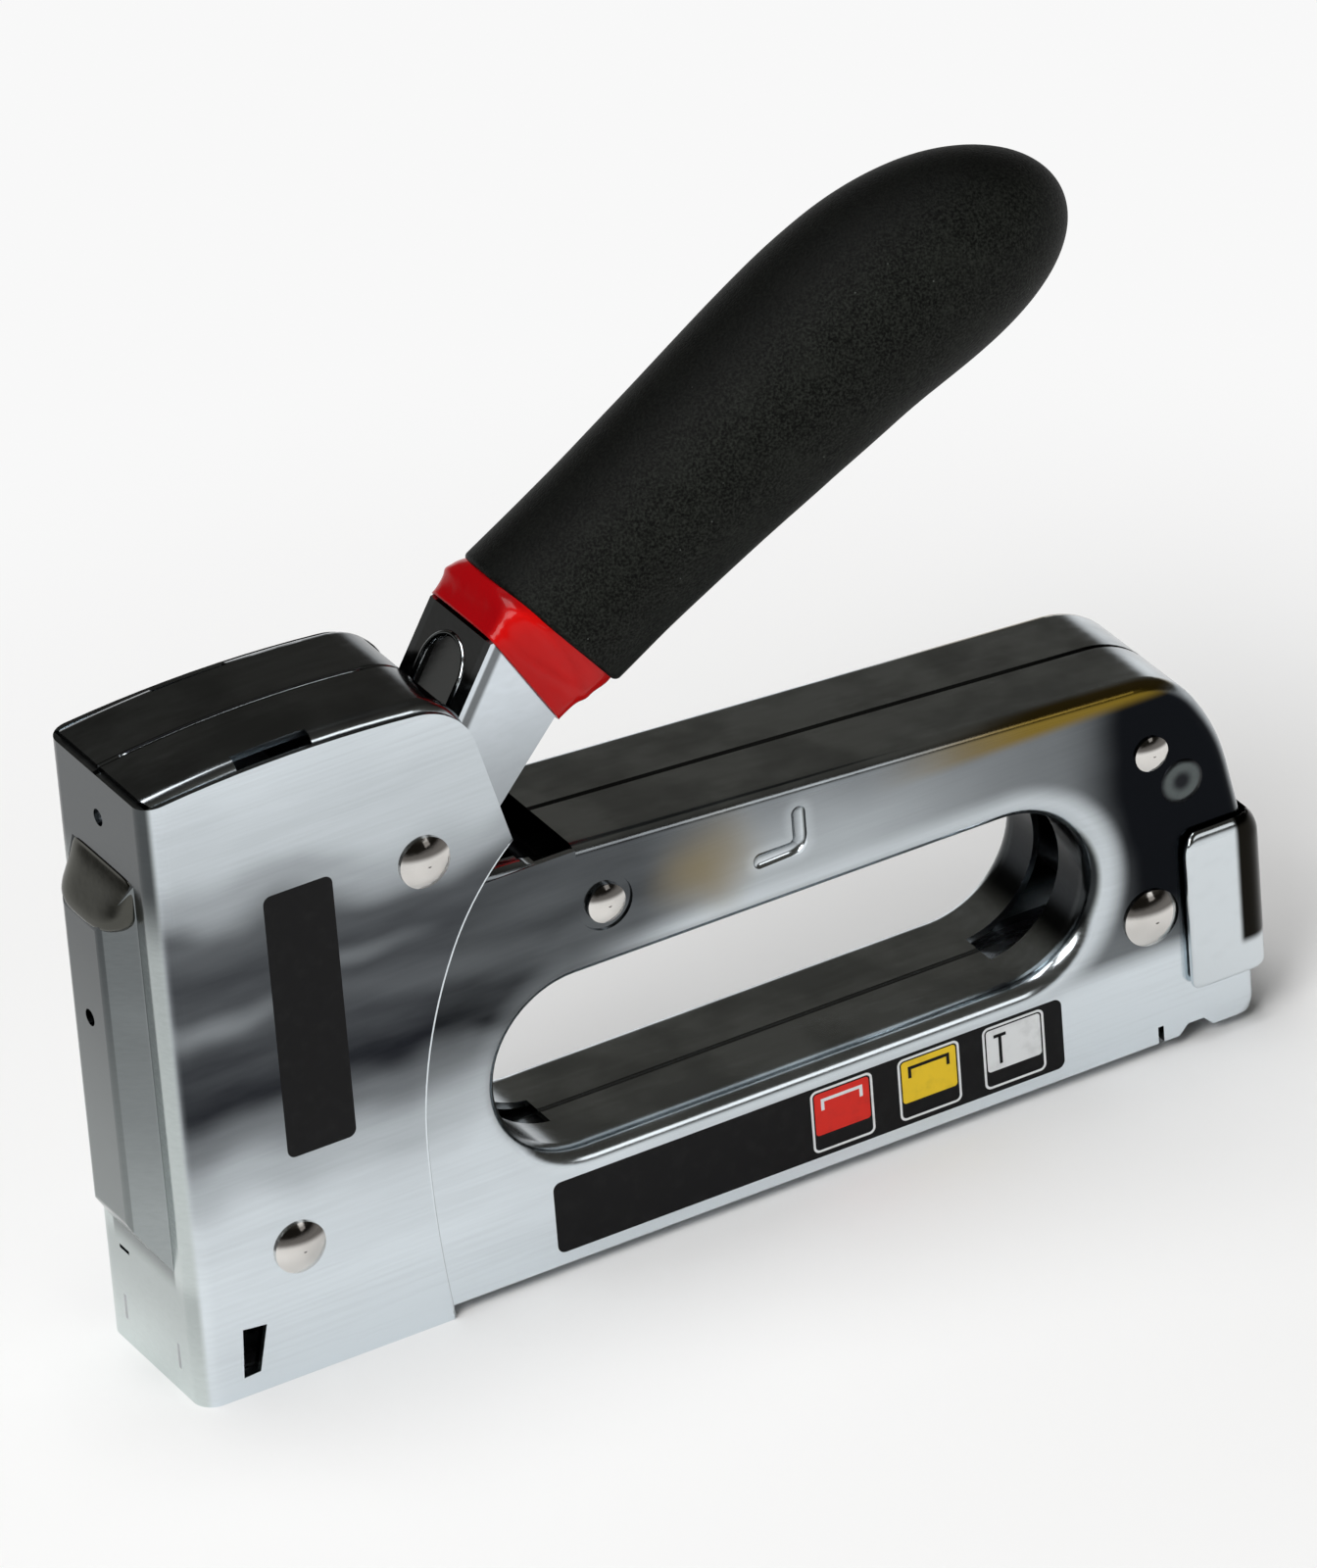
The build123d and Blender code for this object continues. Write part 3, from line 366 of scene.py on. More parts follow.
def bend(start, heading, end, steps):
    """Points of the arc that leaves start along heading and reaches end, and its heading there."""
    chord = end - start
    aside = Vector((-heading.y, heading.x))
    radius = chord.length_squared / (2 * aside.dot(chord))
    middle = start + aside * radius
    turn = 2 * math.asin(max(-1, min(1, chord.length / 2 / radius)))
    points = []
    for step in range(1, steps + 1):
        points.append(middle + Matrix.Rotation(turn * step / steps, 2) @ (start - middle))
    return points, Matrix.Rotation(turn, 2) @ heading


def new_tree(name, sizes):
    """An empty geometry node tree, and its named inputs."""
    tree = bpy.data.node_groups.new(name, "GeometryNodeTree")
    for label, kind, value in sizes:
        tree.interface.new_socket(label, in_out="INPUT", socket_type=f"NodeSocket{kind}")
    tree.interface.new_socket("Geometry", in_out="OUTPUT", socket_type="NodeSocketGeometry")
    return tree, tree.nodes.new("NodeGroupInput").outputs


def sweep_round(tree, path, radius, finish):
    """Ends a tree with a round wire along its path, closed at both ends."""
    around = ((0, WIRE_SIDES), (4, radius))
    circle = add_node(tree, "GeometryNodeCurvePrimitiveCircle", around).outputs[0]
    swept = add_node(tree, "GeometryNodeCurveToMesh", ((0, path), (1, circle)))
    swept.inputs["Fill Caps"].default_value = True
    real = add_node(tree, "GeometryNodeRealizeInstances", ((0, swept.outputs[0]),)).outputs[0]
    painted = add_node(tree, "GeometryNodeSetMaterial", ((0, real), (2, finish))).outputs[0]
    tree.links.new(painted, tree.nodes.new("NodeGroupOutput").inputs[0])


def put(name, data):
    """An object with this data, put into the scene."""
    made = bpy.data.objects.new(name, data)
    bpy.context.scene.collection.objects.link(made)
    return made


def grow(name, tree, sizes, start):
    """The finished piece that a tree makes from a start mesh."""
    made = put(name, start)
    modifier = made.modifiers.new(name, "NODES")
    modifier.node_group = tree
    sockets = {item.name: item.identifier for item in tree.interface.items_tree if item.in_out == "INPUT"}
    for label, kind, value in sizes:
        if kind != "Geometry":
            modifier[sockets[label]] = value
    bpy.context.view_layer.update()
    mesh = bpy.data.meshes.new_from_object(made.evaluated_get(bpy.context.evaluated_depsgraph_get()))
    made.modifiers.remove(modifier)
    made.data = mesh
    mesh.name = name
    mesh.polygons.foreach_set("use_smooth", [len(face.vertices) == 4 for face in mesh.polygons])
    return made


def add_bead(name, paths, radius, finish, body):
    """Round beads along paths of points. Their ends are shaded round, so they fade out."""
    points, edges = [], []
    for path in paths:
        edges += [(len(points) + step, len(points) + step + 1) for step in range(len(path) - 1)]
        points += path
    start = bpy.data.meshes.new(f"{name}_path")
    start.from_pydata(points, edges, [])
    sizes = (("Path", "Geometry", None), ("Radius", "Float", radius), ("Finish", "Material", finish))
    tree, given = new_tree(name, sizes)
    path = add_node(tree, "GeometryNodeMeshToCurve", ((0, given["Path"]),)).outputs[0]
    sweep_round(tree, path, given["Radius"], given["Finish"])
    made = grow(name, tree, sizes, start)
    made.data.attributes.remove(made.data.attributes["sharp_edge"])
    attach(made, body)


def ring_faces(first, second, count):
    """Four-sided faces between two rings of points, which start at these numbers."""
    faces = []
    for step in range(count):
        after = (step + 1) % count
        faces.append((first + step, first + after, second + after, second + step))
    return faces


def squared(angle, power):
    """Point of the unit circle at power 2, and of a squarer outline as the power rises."""
    c = math.cos(angle)
    s = math.sin(angle)
    scale = (abs(c) ** power + abs(s) ** power) ** (-1 / power)
    return scale * c, scale * s


def add_mesh(name, points, faces, finish, smooth_sides=4):
    """A piece from points and faces. Its faces with more sides than smooth_sides stay flat."""
    mesh = bpy.data.meshes.new(name)
    mesh.from_pydata(points, [], faces)
    mesh.polygons.foreach_set("use_smooth", [len(face) <= smooth_sides for face in faces])
    mesh.materials.append(finish)
    return put(name, mesh)


# The cover and its fine beads take the same painted reflections and shade as the shells.
cover_plate = plating("cover_plate", COVER_LIGHT, COVER_DARK, 0.20, sides=1.0, front=1.0)
edge_plate = plating("edge_plate", EDGE_LIGHT, EDGE_DARK, 0.14, sides=0.0, front=1.0)
paint(cover_plate, "nose_cover")

# A fine bead catches the light along the cover's rear edge.
lower = bend(COVER_WAIST, Vector((0, -1)), COVER_HEEL, 12)[0]
upper, heading = bend(COVER_WAIST, Vector((0, 1)), COVER_SHOULDER, 12)
shoulder = bend(COVER_SHOULDER, heading, COVER_TOP, 10)[0]
edge = list(reversed(lower)) + [COVER_WAIST] + upper + shoulder
depth = COVER_FACE - 0.8 * EDGE_BEAD
edge_paths = [[Vector((x, y, z)) for x, z in edge] for y in (-depth, depth)]
add_bead("cover_edge_beads", edge_paths, EDGE_BEAD, edge_plate, "frame")

# The hood: at its upper end the boss was pressed out wider, over the driver's top rivet. Its dark brownish
# colour is a painted dark reflection.
# Its outline is square at the top and round below, and its rim lies in the sheet.
hood_painted_dark = metal("hood_painted_dark", (0.10, 0.10, 0.088), 0.15, 900.0)
points = []
for ring in range(HOOD_RINGS + 1):
    spread = math.sin(math.pi / 2 * ring / HOOD_RINGS)
    for step in range(HOOD_POINTS if ring else 1):
        angle = math.tau * step / HOOD_POINTS
        across, up = squared(angle, 8 if math.sin(angle) > 0 else 3)
        z = HOOD_MIDDLE + HOOD_HALF[1] * spread * up
        ramp_share = max(0.0, min(1.0, (BOSS_HIGH - z) / (BOSS_HIGH - BOSS_CREST)))
        depth = (BOSS_DEPTH * ramp_share + HOOD_PROUD) * math.sqrt(max(0.0, 1 - spread ** 6))
        points.append((COVER_FRONT - depth, HOOD_HALF[0] * spread * across, z))
last = len(points) - HOOD_POINTS
faces = [(0, (step + 1) % HOOD_POINTS + 1, step + 1) for step in range(HOOD_POINTS)]
for inner in range(1, last, HOOD_POINTS):
    faces += ring_faces(inner, inner + HOOD_POINTS, HOOD_POINTS)
faces.append(tuple(range(last, len(points))))
hood = add_mesh("boss_hood", points, faces, hood_painted_dark)
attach(hood, "frame")

# ---------------------------------------- seam and dimple
# The halves meet along the head's crown in a fine rolled seam. A shallow round dimple marks where the left
# half was held in the press, behind the upper heel rivet.
CROWN = ((-0.0030, 0.0954), (0.0190, 0.0971), (0.0380, 0.0962))
SEAM_START = 0.0002
SEAM_LENGTH = 0.0370
SEAM_BEAD = 0.00025
DIMPLE = (0.1560, 0.0423)
DIMPLE_RADIUS = 0.0034
DIMPLE_FORM = ((0.0007, -0.00001), (0.0013, 0.00003), (0.0019, 0.00010), (0.0024, 0.00010),
               (DIMPLE_RADIUS, 0.0), (DIMPLE_RADIUS, -0.0001))
DIMPLE_POINTS = 40


def crown_height(x):
    """Height of the head's crown, on the curve through its three points."""
    height = 0.0
    for place, share in CROWN:
        for other, _ in CROWN:
            if other != place:
                share *= (x - other) / (place - other)
        height += share
    return height


seam_path = []
for step in range(25):
    x = SEAM_START + SEAM_LENGTH * step / 24
    seam_path.append(Vector((x, 0, crown_height(x) - 0.6 * SEAM_BEAD)))
add_bead("crown_seam", [seam_path], SEAM_BEAD, cover_plate, "frame")

# The dimple's colour is a painted reflection: dark in its middle and at its edge, like the painted dark
# heel round it, with a paler painted ring between.
dimple_plate, dimple_shader = new_material("dimple_plate", 1.0, 0.35)
tree = dimple_plate.node_tree
pressed = place_group(tree, grain, Scale=1200.0)
coords = where(tree)
reach = vector_maths(tree, "SUBTRACT", coords, (DIMPLE[0], 0, DIMPLE[1]))
reach = measure(tree, "LENGTH", vector_maths(tree, "MULTIPLY", reach, (1.0, 0.0, 1.0)))
ring = product(tree, fade(tree, reach, 0.0006, 0.0021), fade(tree, reach, DIMPLE_RADIUS, 0.0024),
               maths(tree, "MULTIPLY_ADD", pressed["Fine"], 0.4, 0.8))
dimple_painted_shade = mix_colours(tree, ring, (0.018, 0.019, 0.022, 1), (0.105, 0.120, 0.120, 1))
tree.links.new(dimple_painted_shade, dimple_shader.inputs["Base Color"])
shell_face = -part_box("shell_left")[0][1]
points, faces = [], []
for radius, proud in DIMPLE_FORM:
    for step in range(DIMPLE_POINTS):
        angle = math.tau * step / DIMPLE_POINTS
        points.append((DIMPLE[0] + radius * math.cos(angle), -shell_face - proud - 0.00002,
                       DIMPLE[1] + radius * math.sin(angle)))
last = len(points) - DIMPLE_POINTS
for inner in range(0, last, DIMPLE_POINTS):
    faces += ring_faces(inner + DIMPLE_POINTS, inner, DIMPLE_POINTS)
faces.append(tuple(range(DIMPLE_POINTS)))
faces.append(tuple(reversed(range(last, len(points)))))
dimple = add_mesh("press_dimple", points, faces, dimple_plate, smooth_sides=DIMPLE_POINTS)
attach(dimple, "frame")

# ---------------------------------------- rivets
# Domed nickel-plated rivets, set from the left and peened over on the right. They hold the halves and the
# nose together, and the one below the head carries the lever. Each dome has a painted dark band where it
# turns up, a painted reflection of the dim ceiling.
nickel = metal("nickel", (0.74, 0.72, 0.69), 0.10, 1500.0)
tree = nickel.node_tree
shader = tree.nodes["Principled BSDF"]
upward = split(tree, where(tree, "Normal"))[2]
painted_dark_band = product(tree, fade(tree, upward, 0.12, 0.26), fade(tree, upward, 0.62, 0.50, 0.0, 0.88))
bright = shader.inputs["Base Color"].links[0].from_socket
tree.links.new(mix_colours(tree, painted_dark_band, bright, (0.06, 0.052, 0.045, 1)), shader.inputs["Base Color"])
paint(nickel, "pivot_rivet", "nose_rivet", "arm_rivet", "heel_rivet", "tail_rivet")

# ---------------------------------------- parts inside the body
# Plain oiled steel: the guide and foot behind the nose cover, the tubes that space the halves round each
# rivet, the lever's washers, and the seat under the head that the power spring pushes against.
plain_steel = metal("plain_steel", (0.42, 0.43, 0.45), 0.32, 1800.0)
paint(plain_steel, "nose_guide", "nose_foot", "nose_spacer", "arm_spacer", "heel_spacer", "tail_spacer",
      "pivot_washer_left", "pivot_washer_right", "spring_seat")

# ---------------------------------------- bumper
# A block of black rubber, moulded, that stops the plunger at the bottom of its stroke. It rests on the tube
# round the lower nose rivet.


def soft_black(name, colour, pale, roughness, scale):
    """Dull black rubber or foam: paler at its high cells, with a fine bump."""
    made, shader = new_material(name, 0.0, roughness)
    tree = made.node_tree
    cells = place_group(tree, grain, Scale=scale, Detail=7.0)
    mixed = mix_colours(tree, fade(tree, cells["Fine"], 0.30, 0.78), (*colour, 1), (*pale, 1))
    mixed = mix_colours(tree, fade(tree, cells["Broad"], 0.45, 0.75, 0.0, 0.2), mixed, (*pale, 1))
    tree.links.new(mixed, shader.inputs["Base Color"])
    add_bump(tree, shader, cells["Fine"], 0.0002, 0.7)
    return made, shader, mixed


bumper_rubber = soft_black("bumper_rubber", (0.03, 0.03, 0.03), (0.07, 0.07, 0.07), 0.75, 900.0)[0]
paint(bumper_rubber, "bumper")

# ---------------------------------------- plunger and driver blade
# A steel block that slides in the nose, with the driver blade riveted to its front. The lever's studs
# lift it, and the power spring throws it down.
paint(plain_steel, "plunger", "driver_blade", "blade_rivet_low", "blade_rivet_high")

# ---------------------------------------- power spring
# A coil of hard drawn wire, wound cold, that stands between the plunger and its seat under the head.
POWER_SPRING_X = 0.010
POWER_SPRING_TOP = 0.0913
POWER_SPRING_FOOT = 0.0336
POWER_SPRING_RADIUS = 0.0049
POWER_SPRING_WIRE = 0.00098
POWER_SPRING_TURNS = 9.0


def add_coil(name, radius, wire, turns, length, points, finish):
    """A round wire, wound from the origin up Z."""
    sizes = (("Radius", "Float", radius), ("Wire radius", "Float", wire), ("Turns", "Float", turns),
             ("Length", "Float", length), ("Points in a turn", "Int", points),
             ("Finish", "Material", finish))
    tree, given = new_tree(name, sizes)
    spiral = add_node(tree, "GeometryNodeCurveSpiral", ((0, given["Points in a turn"]), (1, given["Turns"]),
                                                        (2, given["Radius"]), (3, given["Radius"]),
                                                        (4, given["Length"]))).outputs[0]
    sweep_round(tree, spiral, given["Wire radius"], given["Finish"])
    return grow(name, tree, sizes, bpy.data.meshes.new(f"{name}_start"))


spring_steel = metal("spring_steel", (0.26, 0.26, 0.27), 0.30, 2200.0)
power_coil = add_coil("power_coil", POWER_SPRING_RADIUS, POWER_SPRING_WIRE, POWER_SPRING_TURNS,
                      POWER_SPRING_TOP - POWER_SPRING_FOOT - 2 * POWER_SPRING_WIRE, 48, spring_steel)
power_coil.data.transform(Matrix.Translation((POWER_SPRING_X, 0, POWER_SPRING_FOOT + POWER_SPRING_WIRE)))
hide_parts("power_spring")
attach(power_coil, "frame")
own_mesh(power_coil)

# ---------------------------------------- magazine
# A zinc-plated channel that the staples sit on, in a fixed zinc-plated housing. It draws out to the rear,
# and a pusher on its plain rod presses the staples forward.
zinc_steel = metal("zinc_steel", (0.52, 0.54, 0.56), 0.28, 900.0, stretch=(0.1, 1.0, 1.0))
paint(zinc_steel, "magazine_housing", "magazine_rail")
paint(plain_steel, "pusher_rod", "pusher")

# ---------------------------------------- magazine cap
# A bright cap on the magazine's rear, folded round the shells from one plated sheet. Its front upper corner
# is cut round, and all its folds are soft. Its colour is painted dark on its rear corners, a painted
# reflection, and painted darker along its top, a painted shade.
CAP_LOW = 0.0090
CAP_HIGH = 0.0352
CAP_FRONT = 0.1550
CAP_REAR = 0.1683
CAP_CORNERS = (0.0001, 0.0046, 0.0012, 0.0001)
CAP_DETAIL = 0.00033
CAP_HALF_BLANK = 0.03


def rounded(left, low, right, high, corners, steps=6):
    """Outline of an oblong in X and Z, with the radius of each corner from the upper right one round."""
    outline = []
    for number, radius in enumerate(corners):
        x = left + radius if number in (1, 2) else right - radius
        z = low + radius if number > 1 else high - radius
        for step in range(steps + 1):
            angle = math.radians(90 * (number + step / steps))
            outline.append((x + radius * math.cos(angle), z + radius * math.sin(angle)))
    return outline


cap_plate, cap_shader = new_material("cap_plate", 1.0, 0.13)
tree = cap_plate.node_tree
brushed = place_group(tree, grain, Scale=900.0, Stretch=(0.3, 1.0, 0.6))
x, y, z = split(tree, where(tree))
# Painted dark reflection on the rear corners and painted shade along the top.
turned = product(tree, fade(tree, x, 0.1628, 0.1638), fade(tree, z, 0.0135, 0.0150),
                 fade(tree, maths(tree, "ABSOLUTE", y), 0.0045, 0.0108))
crown = fade(tree, z, 0.0318, 0.0336, 0.0, 0.45)
shade = product(tree, maths(tree, "SUBTRACT", 1.0, maths(tree, "MAXIMUM", turned, crown)),
                maths(tree, "MULTIPLY_ADD", brushed["Fine"], 0.16, 0.92))
cap_colour = mix_colours(tree, shade, (0.010, 0.009, 0.007, 1), (0.70, 0.75, 0.78, 1))
finish_surface(tree, cap_shader, cap_colour, brushed["Fine"], (0.08, 0.18), 0.00002, 0.2)

mesh = bpy.data.meshes.new("end_cap")
builder = bmesh.new()
builder.from_mesh(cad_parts["magazine_end_cap"].data)
bmesh.ops.remove_doubles(builder, verts=builder.verts, dist=1e-6)
builder.to_mesh(mesh)
builder.free()
cap = put("end_cap", mesh)
outline = rounded(CAP_FRONT, CAP_LOW, CAP_REAR, CAP_HIGH, CAP_CORNERS, 8)
count = len(outline)
points = [(x, y, z) for y in (-CAP_HALF_BLANK, CAP_HALF_BLANK) for x, z in outline]
faces = ring_faces(count, 0, count)
faces += [tuple(range(count)), tuple(reversed(range(count, 2 * count)))]
blank = add_mesh("cap_blank", points, faces, cap_plate)
cut = cap.modifiers.new("corner", "BOOLEAN")
cut.operation = "INTERSECT"
cut.object = blank
drawn = cap.modifiers.new("drawn", "REMESH")
drawn.mode = "VOXEL"
drawn.voxel_size = CAP_DETAIL
drawn.use_smooth_shade = True
softened = cap.modifiers.new("softened", "SMOOTH")
softened.iterations = 12
bpy.context.view_layer.update()
finished = bpy.data.meshes.new_from_object(cap.evaluated_get(bpy.context.evaluated_depsgraph_get()))
cap.modifiers.clear()
cap.data = finished
bpy.data.objects.remove(blank)
finished.polygons.foreach_set("use_smooth", [True] * len(finished.polygons))
finished.materials.clear()
finished.materials.append(cap_plate)
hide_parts("magazine_end_cap")
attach(cap, "magazine")

# ---------------------------------------- pusher spring
# A long thin coil on the magazine's rod, from the pusher to the rear cap, that pushes the staples forward.
PUSHER_SPRING_REAR = 0.1668
PUSHER_SPRING_FRONT = 0.0156
PUSHER_SPRING_HEIGHT = 0.0082
PUSHER_SPRING_RADIUS = 0.0023
PUSHER_SPRING_WIRE = 0.00027
PUSHER_SPRING_TURNS = 30.0
pusher_coil = add_coil("pusher_coil", PUSHER_SPRING_RADIUS, PUSHER_SPRING_WIRE, PUSHER_SPRING_TURNS,
                       PUSHER_SPRING_REAR - PUSHER_SPRING_FRONT - 2 * PUSHER_SPRING_WIRE, 24, spring_steel)
pusher_coil.data.transform(
    Matrix.Translation((PUSHER_SPRING_FRONT + PUSHER_SPRING_WIRE, 0, PUSHER_SPRING_HEIGHT))
    @ Matrix.Rotation(math.pi / 2, 4, "Y"))
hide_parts("pusher_spring")
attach(pusher_coil, "magazine")
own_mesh(pusher_coil)

# ---------------------------------------- lever
# A channel pressed from thicker plated sheet. It turns on a bush over the pivot rivet, its studs lift the
# plunger, and a light spring holds it up. Its colour is painted shade: darker low down, on forward faces
# and along the neck's rolled top, and dark on the web deep in the channel.
NECK_TOP = Vector((0.0478, 0, 0.0904))
NECK_AHEAD = Vector((-0.850, 0, 0.527))
NECK_ALONG = Vector((0.527, 0, 0.850))
LEVER_INSIDE = 0.0070
SLOT_MIDDLE = NECK_TOP + 0.0020 * NECK_ALONG
SLOT_HALF = 0.0050
SLOT_REACH = 0.0070
SLOT_LIP = 0.00045
lever_plate, lever_shader = new_material("lever_plate", 1.0, 0.16)
tree = lever_plate.node_tree
brushed = place_group(tree, grain, Scale=900.0, Stretch=(0.5, 1.0, 1.4))
coords = where(tree)
x, y, z = split(tree, coords)
facing = split(tree, where(tree, "Normal"))
behind = measure(tree, "DOT_PRODUCT", vector_maths(tree, "SUBTRACT", coords, NECK_TOP), NECK_AHEAD)
rolled = product(tree, fade(tree, behind, -0.0006, -0.0010), fade(tree, behind, -0.0026, -0.0018))
shade = product(tree, fade(tree, z, 0.074, 0.094, 0.50, 0.95),
                maths(tree, "MULTIPLY_ADD", rolled, -0.75, 1.0))
shade = mix_values(tree, fade(tree, facing[0], -0.2, -0.5), shade, 0.07)
inside = fade(tree, maths(tree, "ABSOLUTE", y), LEVER_INSIDE, LEVER_INSIDE - 0.0002)
shade = mix_values(tree, inside, shade, 0.05)
shade = product(tree, shade, maths(tree, "MULTIPLY_ADD", brushed["Fine"], 0.16, 0.92))
lever_colour = mix_colours(tree, shade, (0.014, 0.012, 0.008, 1), (0.72, 0.78, 0.83, 1))
finish_surface(tree, lever_shader, lever_colour, brushed["Fine"], (0.10, 0.22), 0.00002, 0.25)
paint(lever_plate, "lever")

# The slot in the neck's web has a rolled lip.
across = Vector((0, 1, 0))
slot_foot = SLOT_MIDDLE - SLOT_REACH * NECK_ALONG
lip = [slot_foot - SLOT_HALF * across]
for step in range(25):
    angle = math.pi * step / 24
    lip.append(SLOT_MIDDLE + SLOT_HALF * (math.sin(angle) * NECK_ALONG - math.cos(angle) * across))
lip.append(slot_foot + SLOT_HALF * across)
lip = [point - 0.3 * SLOT_LIP * NECK_AHEAD for point in lip]
add_bead("neck_slot_lip", [lip], SLOT_LIP, edge_plate, "lever")
paint(plain_steel, "lift_stud_left", "lift_stud_right", "pivot_bush")
paint(spring_steel, "lever_return_spring")

# ---------------------------------------- foam grip
# A tube of closed-cell foam, pushed on over the vinyl. It swells towards its round tip, where it bends down
# a little, and its front end is cut a few degrees out of square.
GRIP_START = (0.0646, 0.0943)
GRIP_RISE = math.radians(30.5)
GRIP_STRAIGHT = 0.054
GRIP_BEND_RADIUS = 0.0716
GRIP_END = 0.0943
GRIP_CUT = math.radians(8)
GRIP_LIP = 0.0009
GRIP_BORE = 0.0095
GRIP_FORM = (
    (0.0, 0.01330, 0.0000), (0.014, 0.01335, 0.0000), (0.028, 0.01370, 0.0000), (0.042, 0.01435, -0.0001),
    (0.052, 0.01475, -0.0004), (0.062, 0.01485, -0.0006),
)
GRIP_TIP_ROUND = 2.4
GRIP_POINTS = 144
GRIP_RINGS = 161
GRIP_UNEVENNESS = 0.00014


def on_grip(distance, aside, y):
    """Point beside the grip's axis, at a distance from its start and aside to its upper side."""
    turn = max(0.0, distance - GRIP_STRAIGHT) / GRIP_BEND_RADIUS
    straight = min(distance, GRIP_STRAIGHT)
    x = GRIP_START[0] + straight * math.cos(GRIP_RISE) + GRIP_BEND_RADIUS * math.sin(GRIP_RISE)
    z = GRIP_START[1] + straight * math.sin(GRIP_RISE) - GRIP_BEND_RADIUS * math.cos(GRIP_RISE)
    heading = GRIP_RISE - turn
    reach = GRIP_BEND_RADIUS + aside
    return Vector((x - reach * math.sin(heading), y, z + reach * math.cos(heading)))


def grip_form(distance):
    """Radius of the foam and the shift of its middle, at a distance from its start."""
    for number in range(len(GRIP_FORM) - 1):
        far = GRIP_FORM[number + 1]
        if distance <= far[0]:
            near = GRIP_FORM[number]
            before = GRIP_FORM[max(number - 1, 0)]
            after = GRIP_FORM[min(number + 2, len(GRIP_FORM) - 1)]
            share = (distance - near[0]) / (far[0] - near[0])
            return tuple(near[i] + 0.5 * share * (far[i] - before[i] + share * (
                2 * before[i] - 5 * near[i] + 4 * far[i] - after[i] + share * (
                    3 * (near[i] - far[i]) + after[i] - before[i]))) for i in (1, 2))
    gone = (distance - GRIP_FORM[-1][0]) / (GRIP_END - GRIP_FORM[-1][0])
    return GRIP_FORM[-1][1] * math.sqrt(max(0.0, 1 - gone ** GRIP_TIP_ROUND)), GRIP_FORM[-1][2]


def add_rings(name, rings, pointed, finish):
    """A smooth tube through rings of points. Both ends are closed flat, or the last one at a point."""
    count = len(rings[0])
    points = [point for ring in rings for point in ring]
    faces = [tuple(reversed(range(count)))]
    last = len(points) - count
    for first in range(0, last, count):
        faces += ring_faces(first, first + count, count)
    if pointed:
        points.append(sum(rings[-1], Vector()) / count)
        faces += [(last + column, last + (column + 1) % count, len(points) - 1) for column in range(count)]
    else:
        faces.append(tuple(range(last, last + count)))
    return add_mesh(name, points, faces, finish)


def grip_ring(distance, radius, shift, cut, unevenness=0.0):
    """One ring of the foam. Cut is the share of the front end's slant that it takes."""
    ring = []
    for step in range(GRIP_POINTS):
        angle = math.tau * step / GRIP_POINTS
        up = radius * math.sin(angle)
        point = on_grip(distance - up * math.tan(GRIP_CUT) * cut, up + shift, radius * math.cos(angle))
        outward = (point - on_grip(distance, shift, 0)).normalized()
        ring.append(point + outward * unevenness * noise.noise(point * 70))
    return ring


# Pale dust sits in a few cells, and the foam's colour is painted darker where its sides turn away, a
# painted shade.
black_foam, foam_shader, foam_colour = soft_black(
    "black_foam", (0.0010, 0.0013, 0.0009), (0.0230, 0.0255, 0.0215), 0.55, 2700.0)
foam_shader.inputs["Specular IOR Level"].default_value = 0.07
tree = black_foam.node_tree
coords = where(tree)
dust = add_node(tree, "ShaderNodeTexVoronoi", ((0, coords), (2, 300.0))).outputs["Distance"]
dusty = fade(tree, dust, 0.042, 0.020, 0.0, 0.8)
foam_colour = mix_colours(tree, dusty, foam_colour, (0.12, 0.13, 0.12, 1))
sideways = maths(tree, "ABSOLUTE", split(tree, where(tree, "Normal"))[1])
turned = fade(tree, sideways, 0.20, 0.97, 0.22, 1.0)
foam_colour = mix_colours(tree, turned, (0.0006, 0.0007, 0.0006, 1), foam_colour)
tree.links.new(foam_colour, foam_shader.inputs["Base Color"])

front_radius, front_shift = grip_form(0.0)
rings = [grip_ring(0.0, radius, front_shift, 1.0) for radius in (GRIP_BORE, front_radius - 2 * GRIP_LIP)]
for step in range(9):
    turn = math.pi / 2 * step / 8
    radius = front_radius - GRIP_LIP * (1 - math.sin(turn))
    rings.append(grip_ring(GRIP_LIP * (1 - math.cos(turn)), radius, front_shift, 1.0))
for step in range(1, GRIP_RINGS):
    distance = GRIP_LIP + (GRIP_END - GRIP_LIP) * (1 - (1 - step / GRIP_RINGS) ** 1.6)
    radius, shift = grip_form(distance)
    slant = max(0.0, 1 - distance / 0.04)
    rings.append(grip_ring(distance, radius, shift, slant, GRIP_UNEVENNESS * min(1, distance / 0.01)))
foam = add_rings("foam_grip", rings, True, black_foam)
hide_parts("handle_grip")
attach(foam, "lever")

# ---------------------------------------- vinyl sleeve
# Glossy red vinyl, dipped over the lever's tang. What shows is square where it grips the neck and puffs out
# to meet the foam, with soft creases where the neck's edges lift it.
SLEEVE_SHOW = 0.0078
SLEEVE_BURIED = 0.002
SLEEVE_POINTS = 96
NECK_HALF = (0.0093, 0.0107, 0.0087)
SLEEVE_FLARE = (0.0029, 0.0015, 0.0035)
SLEEVE_WAIST = 0.0006
CREASES = ((-0.0050, 0.0013), (-0.0023, -0.0012))
CREASE_HALF = 0.0008


